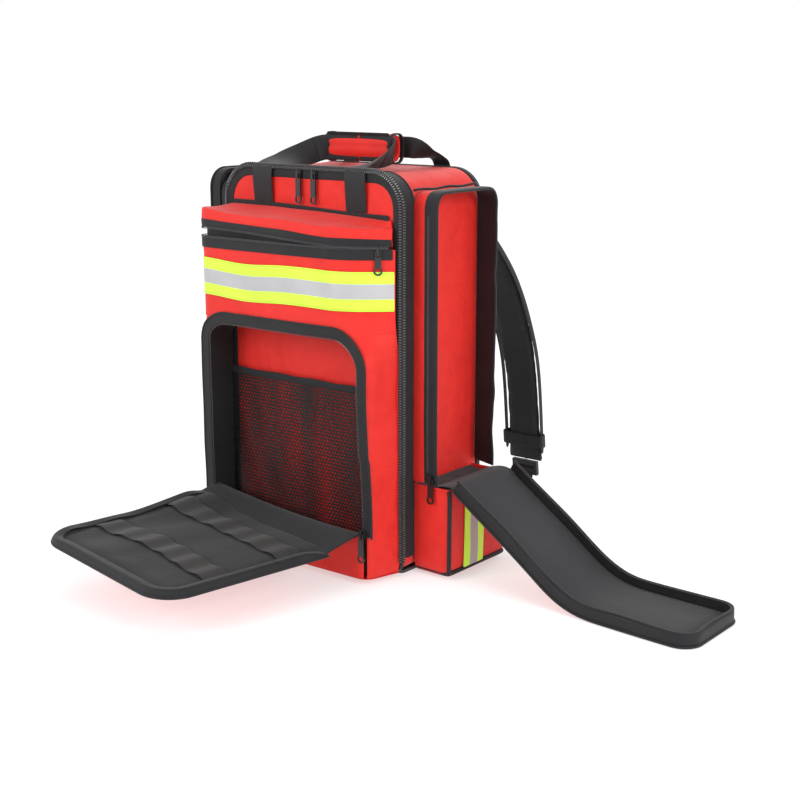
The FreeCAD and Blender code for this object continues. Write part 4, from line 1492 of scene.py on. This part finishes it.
def puff(piece, pressure, cap, frames=20):
    """Blow a remeshed pad up under its cloth, each point held to a small move."""
    remesh = piece.modifiers.new("remesh", "REMESH")
    remesh.mode = "VOXEL"
    remesh.voxel_size = 4.0 * mm
    graph = bpy.context.evaluated_depsgraph_get()
    mesh = bpy.data.meshes.new_from_object(piece.evaluated_get(graph))
    piece.modifiers.clear()
    old = piece.data
    material = old.materials[0]
    piece.data = mesh
    bpy.data.meshes.remove(old)
    mesh.materials.clear()
    mesh.materials.append(material)
    mesh.polygons.foreach_set("use_smooth", [True] * len(mesh.polygons))
    start = [vert.co.copy() for vert in mesh.vertices]
    cloth = piece.modifiers.new("cloth", "CLOTH")
    cloth.settings.use_pressure = True
    cloth.settings.uniform_pressure_force = pressure
    cloth.settings.effector_weights.gravity = 0
    cloth.settings.quality = 5
    cloth.point_cache.frame_start = 1
    cloth.point_cache.frame_end = frames
    for step in range(1, frames + 1):
        scene.frame_set(step)
    graph = bpy.context.evaluated_depsgraph_get()
    blown = piece.evaluated_get(graph).to_mesh()
    moved = [vert.co.copy() for vert in blown.vertices]
    piece.evaluated_get(graph).to_mesh_clear()
    piece.modifiers.clear()
    scene.frame_set(1)
    for vert, before, after in zip(mesh.vertices, start, moved):
        way = after - before
        vert.co = before + way * min(1.0, cap / max(way.length, 1e-9))
    soft = piece.modifiers.new("soft", "SUBSURF")
    soft.levels = soft.render_levels = 1
    return piece


red_padded = woven(
    "red_padded_cloth", (0.46, 0.008, 0.006, 1), (0.74, 0.026, 0.017, 1), 0.9, 0.10, 0.50, from_uv=False,
    folds=1.6
)
black_padded = woven(
    "black_padded_cloth", (0.005, 0.005, 0.006, 1), (0.024, 0.024, 0.026, 1), 1.1, 0.14, 0.66, from_uv=False,
    folds=2.0
)
wrap_half = Vector((grip_high.x, (grip_high.y - grip_low.y) / 2, (grip_high.z - grip_low.z) / 2))
wrap_line = []
for i in range(40):
    a = 2 * math.pi * i / 40
    reach = 1 / (abs(math.cos(a)) ** 3.2 + abs(math.sin(a)) ** 3.2) ** (1 / 3.2)
    wrap_line.append(
        Vector(
            (
                (wrap_half.y - 2.5 * mm) * math.cos(a) * reach,
                (wrap_half.z - 2.5 * mm) * math.sin(a) * reach, 0
            )
        )
    )
bm = bmesh.new()
outer_ring = [bm.verts.new(p) for p in wrap_line]
inner_ring = [bm.verts.new(p * 0.68) for p in wrap_line]
for ring in (outer_ring, inner_ring):
    for i in range(40):
        bm.edges.new((ring[i - 1], ring[i]))
made = bmesh.ops.bridge_loops(bm, edges=bm.edges[:])
grown = bmesh.ops.extrude_face_region(bm, geom=made["faces"])
bmesh.ops.translate(
    bm, vec=(0, 0, 2 * wrap_half.x - 7 * mm),
    verts=[v for v in grown["geom"] if isinstance(v, bmesh.types.BMVert)]
)
bmesh.ops.transform(
    bm, verts=bm.verts,
    matrix=station(
        Vector((-wrap_half.x + 3.5 * mm, grip_mid.y, grip_mid.z)), Vector((0, 1, 0)), Vector((0, 0, 1))
    )
)
grip = puff(finish("handle_wrap_pad", bm, red_padded), 4.0, 4 * mm)
for vert in grip.data.vertices:
    p = vert.co
    seam = math.exp(-((p.z - grip_mid.z - 3 * mm) / (2.2 * mm)) ** 2) * (p.y < grip_low.y + 8 * mm)
    vert.co.y += 1.3 * mm * seam
edge_at = []
for i in range(41):
    a = 2 * math.pi * i / 40
    q = wrap_line[i % 40]
    edge_at.append((q.x, q.y))
for end in (-1, 1):
    ring_at = [
        station(
            Vector((end * (wrap_half.x - 2.6 * mm), grip_mid.y + y * 0.99, grip_mid.z + z * 0.99)),
            Vector((1, 0, 0)), Vector((0, y, z))
        )
        for y, z in edge_at[:-1]
    ]
    ring = run_strip(
        f"handle_wrap_binding_{'right' if end > 0 else 'left'}", flat_section(6 * mm, 2.4 * mm, -0.6 * mm),
        ring_at, black_tape, closed=True, level=1
    )
    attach(ring, "door")
top_line = [
    station(
        Vector((x * mm, grip_low.y + 4.2 * mm, grip_high.z - 2.6 * mm)), Vector((0, -0.6, 1)),
        Vector((0, -1, 0.7))
    )
    for x in range(int(-wrap_half.x / mm) + 3, int(wrap_half.x / mm) - 2, 4)
]
top_tape = run_strip(
    "handle_wrap_binding_top", flat_section(5.5 * mm, 1.6 * mm, 0), top_line, black_tape, level=1
)
ride_all("door", grip, top_tape)
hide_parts("handle_wrap")

# ---- Shoulder straps
# Two padded straps hang in an arc behind: foam in black cloth, bound along both
# edges, a web sewn down the middle, a keeper, a ladder lock and the lower web.
strap_line = glide(
    [
        Vector(p) * mm
        for p in (
            (75, 92.5, 466), (75, 129.5, 452), (75, 180, 410), (75, 232, 352), (75, 272, 280),
            (75, 298, 200), (75, 314, 60)
        )
    ],
    7
)


def strap_station(i, lift=0.0, shift=0.0):
    p = strap_line[i]
    along = (strap_line[min(i + 1, len(strap_line) - 1)] - strap_line[max(i - 1, 0)]).normalized()
    out = Vector((1, 0, 0)).cross(along)
    out = -out if out.y < 0 else out
    return station(p + out * lift + Vector((shift, 0, 0)), Vector((1, 0, 0)), out)


pad_section = []
for i in range(28):
    a = 2 * math.pi * i / 28
    reach = 1 / (abs(math.cos(a)) ** 3.4 + abs(math.sin(a)) ** 3.4) ** (1 / 3.4)
    pad_section.append((31.0 * mm * math.cos(a) * reach, 4.2 * mm * math.sin(a) * reach))
strap_pad = puff(
    run_strip(
        "shoulder_strap_pad_right", pad_section, [strap_station(i) for i in range(1, len(strap_line))],
        black_padded
    ),
    3.0, 3 * mm
)
for vert in strap_pad.data.vertices:
    lump = crease(vert.co, (0.06, 0.05, 0.035), 3.9)
    vert.co.y += 0.6 * mm * lump
flip_bm = bmesh.new()
flip_bm.from_mesh(strap_pad.data)
bmesh.ops.scale(flip_bm, vec=(-1, 1, 1), verts=flip_bm.verts)
bmesh.ops.recalc_face_normals(flip_bm, faces=flip_bm.faces)
strap_pad_left = finish("shoulder_strap_pad_left", flip_bm, black_padded, level=1)


def both_sides(name, section, stations, material, level=0):
    """A strip on the right and its mirror image on the left."""
    flip = Matrix.Diagonal((-1, 1, 1, 1))
    made = [run_strip(name + "_right", section, stations, material, level=level)]
    bm = bmesh.new()
    bm.from_mesh(made[0].data)
    bmesh.ops.transform(bm, matrix=flip, verts=bm.verts)
    made.append(finish(name + "_left", bm, material, level=level))
    for piece in made:
        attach(piece, "pack_body")
    return made


count = len(strap_line)
both_sides(
    "shoulder_strap_binding_outer", flat_section(8.6 * mm, 1.4 * mm, 0),
    [
        station(
            strap_station(i, shift=31.2 * mm).translation, strap_station(i).col[1].to_3d(), Vector((1, 0, 0))
        )
        for i in range(1, count - 1)
    ],
    black_tape, level=1
)
both_sides(
    "shoulder_strap_binding_inner", flat_section(8.6 * mm, 1.4 * mm, 0),
    [
        station(
            strap_station(i, shift=-31.2 * mm).translation, strap_station(i).col[1].to_3d(),
            Vector((-1, 0, 0))
        )
        for i in range(1, count - 1)
    ],
    black_tape, level=1
)
both_sides(
    "shoulder_strap_web", flat_section(30 * mm, 1.6 * mm, 0),
    [strap_station(i, lift=(6.2 if i < count - 4 else 1.5) * mm) for i in range(1, count)], black_webbing,
    level=1
)
root_line = glide(
    [Vector(p) * mm for p in ((75, 89.2, 482), (75, 89.6, 468), (75, 100, 465), (75, 118, 457))], 6
)
both_sides(
    "shoulder_strap_root", flat_section(62 * mm, 3 * mm, -1 * mm),
    [
        station(
            root_line[i], Vector((1, 0, 0)),
            Vector((0, root_line[i].z - root_line[min(i + 1, 18)].z + 0.001, 0.004)) + Vector((0, 0.002, 0))
        )
        for i in range(19)
    ],
    black_tape, level=1
)
tail_line = glide(
    [
        Vector(p) * mm
        for p in (
            (75, 316.0, 56), (75, 314.6, 44), (75, 311, 33), (75, 300, 26.5), (75, 268, 24.5),
            (75, 200, 25.5), (75, 150, 26), (75, 110, 24), (75, 88.8, 22)
        )
    ],
    6
)
tail_at = []
for i, p in enumerate(tail_line):
    along = (tail_line[min(i + 1, len(tail_line) - 1)] - tail_line[max(i - 1, 0)]).normalized()
    out = along.cross(Vector((1, 0, 0)))
    tail_at.append(station(p, Vector((1, 0, 0)), out))
lower_webs = both_sides(
    "lower_web", flat_section(30 * mm, 1.9 * mm, -0.95 * mm), tail_at, black_webbing, level=1
)
for piece, pad, label in ((lower_webs[0], strap_pad, "right"), (lower_webs[1], strap_pad_left, "left")):
    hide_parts(f"lower_webbing_{label}")
    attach(pad, "pack_body")
    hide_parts(f"shoulder_strap_{label}")
keeper_low, keeper_high = (Vector(c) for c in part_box("strap_keeper_right"))
keeper_mid = (keeper_low + keeper_high) / 2
slope = Vector((0, 16, -140)).normalized()
keeper_face = Vector((0, -slope.z, slope.y))
for side, label in ((1, "right"), (-1, "left")):
    ring_at = []
    for i in range(48):
        a = 2 * math.pi * i / 48
        reach = 1 / (abs(math.cos(a)) ** 5 + abs(math.sin(a)) ** 5) ** (1 / 5)
        way = Vector(
            (math.cos(a) * 35.2 * mm * reach, 0, 0)
        ) + keeper_face * (math.sin(a) * 8.2 * mm * reach)
        centre = Vector((side * keeper_mid.x, keeper_mid.y, keeper_mid.z))
        ring_at.append(station(centre + way, -slope, way))
    keeper = run_strip(
        f"strap_keeper_web_{label}", flat_section(20 * mm, 1.5 * mm, -0.9 * mm), ring_at, black_webbing,
        closed=True, level=1
    )
    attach(keeper, f"strap_keeper_{label}")
    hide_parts(f"strap_keeper_{label}")

# ---- Back panel and its pads
# Black cloth over the foam sheet, with two spacer-mesh pads that lie on the
# wearer's back, quilted across in channels and bound round the edge.
back_low, back_high = (Vector(c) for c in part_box("back_panel"))


def back_at(u, v):
    x, z = rounded(
        u, v, back_low.x + 1 * mm, back_high.x - 1 * mm, back_low.z + 1 * mm, back_high.z - 1 * mm,
        TOP_R - 1 * mm, 17 * mm
    )
    soft = ease(0, 0.1, min(u, 1 - u, v, 1 - v))
    return Vector(
        (
            x,
            back_high.y - 0.4 * mm + soft * (0.5 * mm + 0.5 * mm * crease((x, 0, z), (0.06, 1, 0.05), 4.2)),
            z
        )
    )


back_cloth = cut_panel("back_panel_cloth", (0.297, 0.514), (60, 90), back_at, black_cloth, thick=-1.2 * mm)
back_edge_at = [
    station(Vector((p.x, (back_low.y + back_high.y) / 2, p.z)), Vector((0, 1, 0)), out)
    for p, out in arch_route(
        back_low.x + 0.2 * mm, back_high.x - 0.2 * mm, back_low.z, back_high.z - 0.2 * mm, TOP_R,
        closed_low=18 * mm
    )
]
back_edge = run_strip(
    "back_panel_binding", flat_section(9 * mm, 2.4 * mm, -1.4 * mm), back_edge_at, black_tape, closed=True,
    level=1
)
ride_all("pack_body", back_cloth, back_edge)
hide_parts("back_panel")
spacer, spacer_shader, spacer_start = new_material("black_spacer_net", 0.8, sheen=0.3)
_, (sx, _, sz) = metre_axes(spacer_start, False)
knit = (sx * (2 * math.pi / (3.2 * mm))).sin() * (sz * (2 * math.pi / (3.2 * mm))).sin()
shade_colour(
    spacer_start, spacer_shader, (0.008, 0.008, 0.009, 1), (0.050, 0.050, 0.054, 1), knit * 0.5 + 0.5
)
raise_surface(spacer_start, spacer_shader, knit, 0.5 * mm, 0.8)
for side, label in ((1, "right"), (-1, "left")):
    pad_low, pad_high = (Vector(c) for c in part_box(f"back_pad_{label}"))
    mid = (pad_low + pad_high) / 2
    pad_line = arch_route(
        pad_low.x + 4 * mm, pad_high.x - 4 * mm, pad_low.z + 4 * mm, pad_high.z - 4 * mm, 24 * mm,
        step=12 * mm, closed_low=24 * mm
    )
    bm = bmesh.new()
    ring = [bm.verts.new((p.x, pad_low.y + 2 * mm, p.z)) for p, _ in pad_line]
    plate = bm.faces.new(ring)
    grown = bmesh.ops.extrude_face_region(bm, geom=[plate])
    bmesh.ops.translate(
        bm, vec=(0, 7 * mm, 0), verts=[v for v in grown["geom"] if isinstance(v, bmesh.types.BMVert)]
    )
    pad = puff(finish(f"back_pad_{label}_net", bm, spacer), 4.0, 3 * mm)
    for vert in pad.data.vertices:
        p = vert.co
        if p.y > mid.y:
            groove = math.exp(-(((p.z - pad_low.z + 8 * mm) % (64 * mm) - 32 * mm) / (4 * mm)) ** 2)
            rim = ease(0, 14 * mm, min(p.x - pad_low.x, pad_high.x - p.x, p.z - pad_low.z, pad_high.z - p.z))
            vert.co.y = pad_low.y + (p.y - pad_low.y) * (0.62 + 0.38 * rim) - 4.0 * mm * groove * rim
    piping_at = [
        station(Vector((p.x, pad_low.y + 3.2 * mm, p.z)) + out * 2.4 * mm, Vector((0, 1, 0)), out)
        for p, out in pad_line
    ]
    piping = run_strip(
        f"back_pad_{label}_binding", flat_section(6 * mm, 2.0 * mm, -1.0 * mm), piping_at, black_tape,
        closed=True, level=1
    )
    ride_all("pack_body", pad, piping)
    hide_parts(f"back_pad_{label}")

# ---- Base, stiffener and metal parts
# The coated base, the plastic sheet inside the back, the ladder locks and the
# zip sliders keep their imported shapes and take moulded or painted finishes.
coated, coated_shader, coated_start = new_material("black_coated_base", 0.45, coat=0.15)
_, (cx, cy, _) = metre_axes(coated_start, False)
basket = (cx * (2 * math.pi / (2.2 * mm))).sin() * (cy * (2 * math.pi / (2.2 * mm))).sin()
shade_colour(
    coated_start, coated_shader, (0.010, 0.010, 0.011, 1), (0.035, 0.035, 0.038, 1), basket * 0.5 + 0.5
)
raise_surface(coated_start, coated_shader, basket, 0.25 * mm, 0.6)


def moulded(name, dark, light, roughness, metallic=0.0, coat=0.0, grain=900.0):
    made, shader, start = new_material(name, roughness, metallic=metallic, coat=coat)
    coords, _ = metre_axes(start, False)
    fine = start.node("ShaderNodeTexNoise", None, {"Vector": coords, "Scale": grain, "Detail": 2.0})
    wide = start.node("ShaderNodeTexNoise", None, {"Vector": coords, "Scale": 60.0, "Detail": 2.0})
    shade_colour(start, shader, dark, light, fine * 0.4 + wide * 0.6)
    raise_surface(start, shader, fine, 0.05 * mm, 0.4)
    feed(start, shader, "Roughness", wide * 0.15 + (roughness - 0.07))
    return made


black_plastic = moulded("black_moulded_plastic", (0.012, 0.012, 0.013, 1), (0.040, 0.040, 0.043, 1), 0.42)
black_lacquer = moulded(
    "black_lacquered_metal", (0.003, 0.003, 0.003, 1), (0.014, 0.014, 0.015, 1), 0.32, metallic=0.0,
    coat=0.25
)
stiff_plastic = moulded("stiffener_sheet_plastic", (0.05, 0.05, 0.055, 1), (0.10, 0.10, 0.11, 1), 0.5)
finishes = {
    "base_panel": coated, "frame_sheet": stiff_plastic, "ladder_lock_right": black_plastic,
    "ladder_lock_left": black_plastic
}
for where in (
    "main_left", "main_right", "top_pocket", "front_right", "front_left", "side_right", "side_left"
):
    finishes[f"slider_{where}"] = black_lacquer
    finishes[f"pull_{where}"] = black_lacquer
for node, material in finishes.items():
    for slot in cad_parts[node].material_slots:
        slot.material = material

# ---- Floor
# A pale studio floor under the pack, which is not part of it.
sweep = bmesh.new()
bmesh.ops.create_grid(sweep, x_segments=8, y_segments=8, size=30.0)
floor_white, floor_shader, floor_start = new_material("studio_floor", 0.95)
floor_coords, _ = metre_axes(floor_start, False)
floor_noise = floor_start.node("ShaderNodeTexNoise", None, {"Vector": floor_coords, "Scale": 2.0})
shade_colour(floor_start, floor_shader, (0.52, 0.52, 0.52, 1), (0.55, 0.55, 0.55, 1), floor_noise)
floor_shader.inputs["Emission Color"].default_value = (1, 1, 1, 1)
floor_shader.inputs["Emission Strength"].default_value = 0.5
studio_floor = finish("studio_floor", sweep, floor_white)
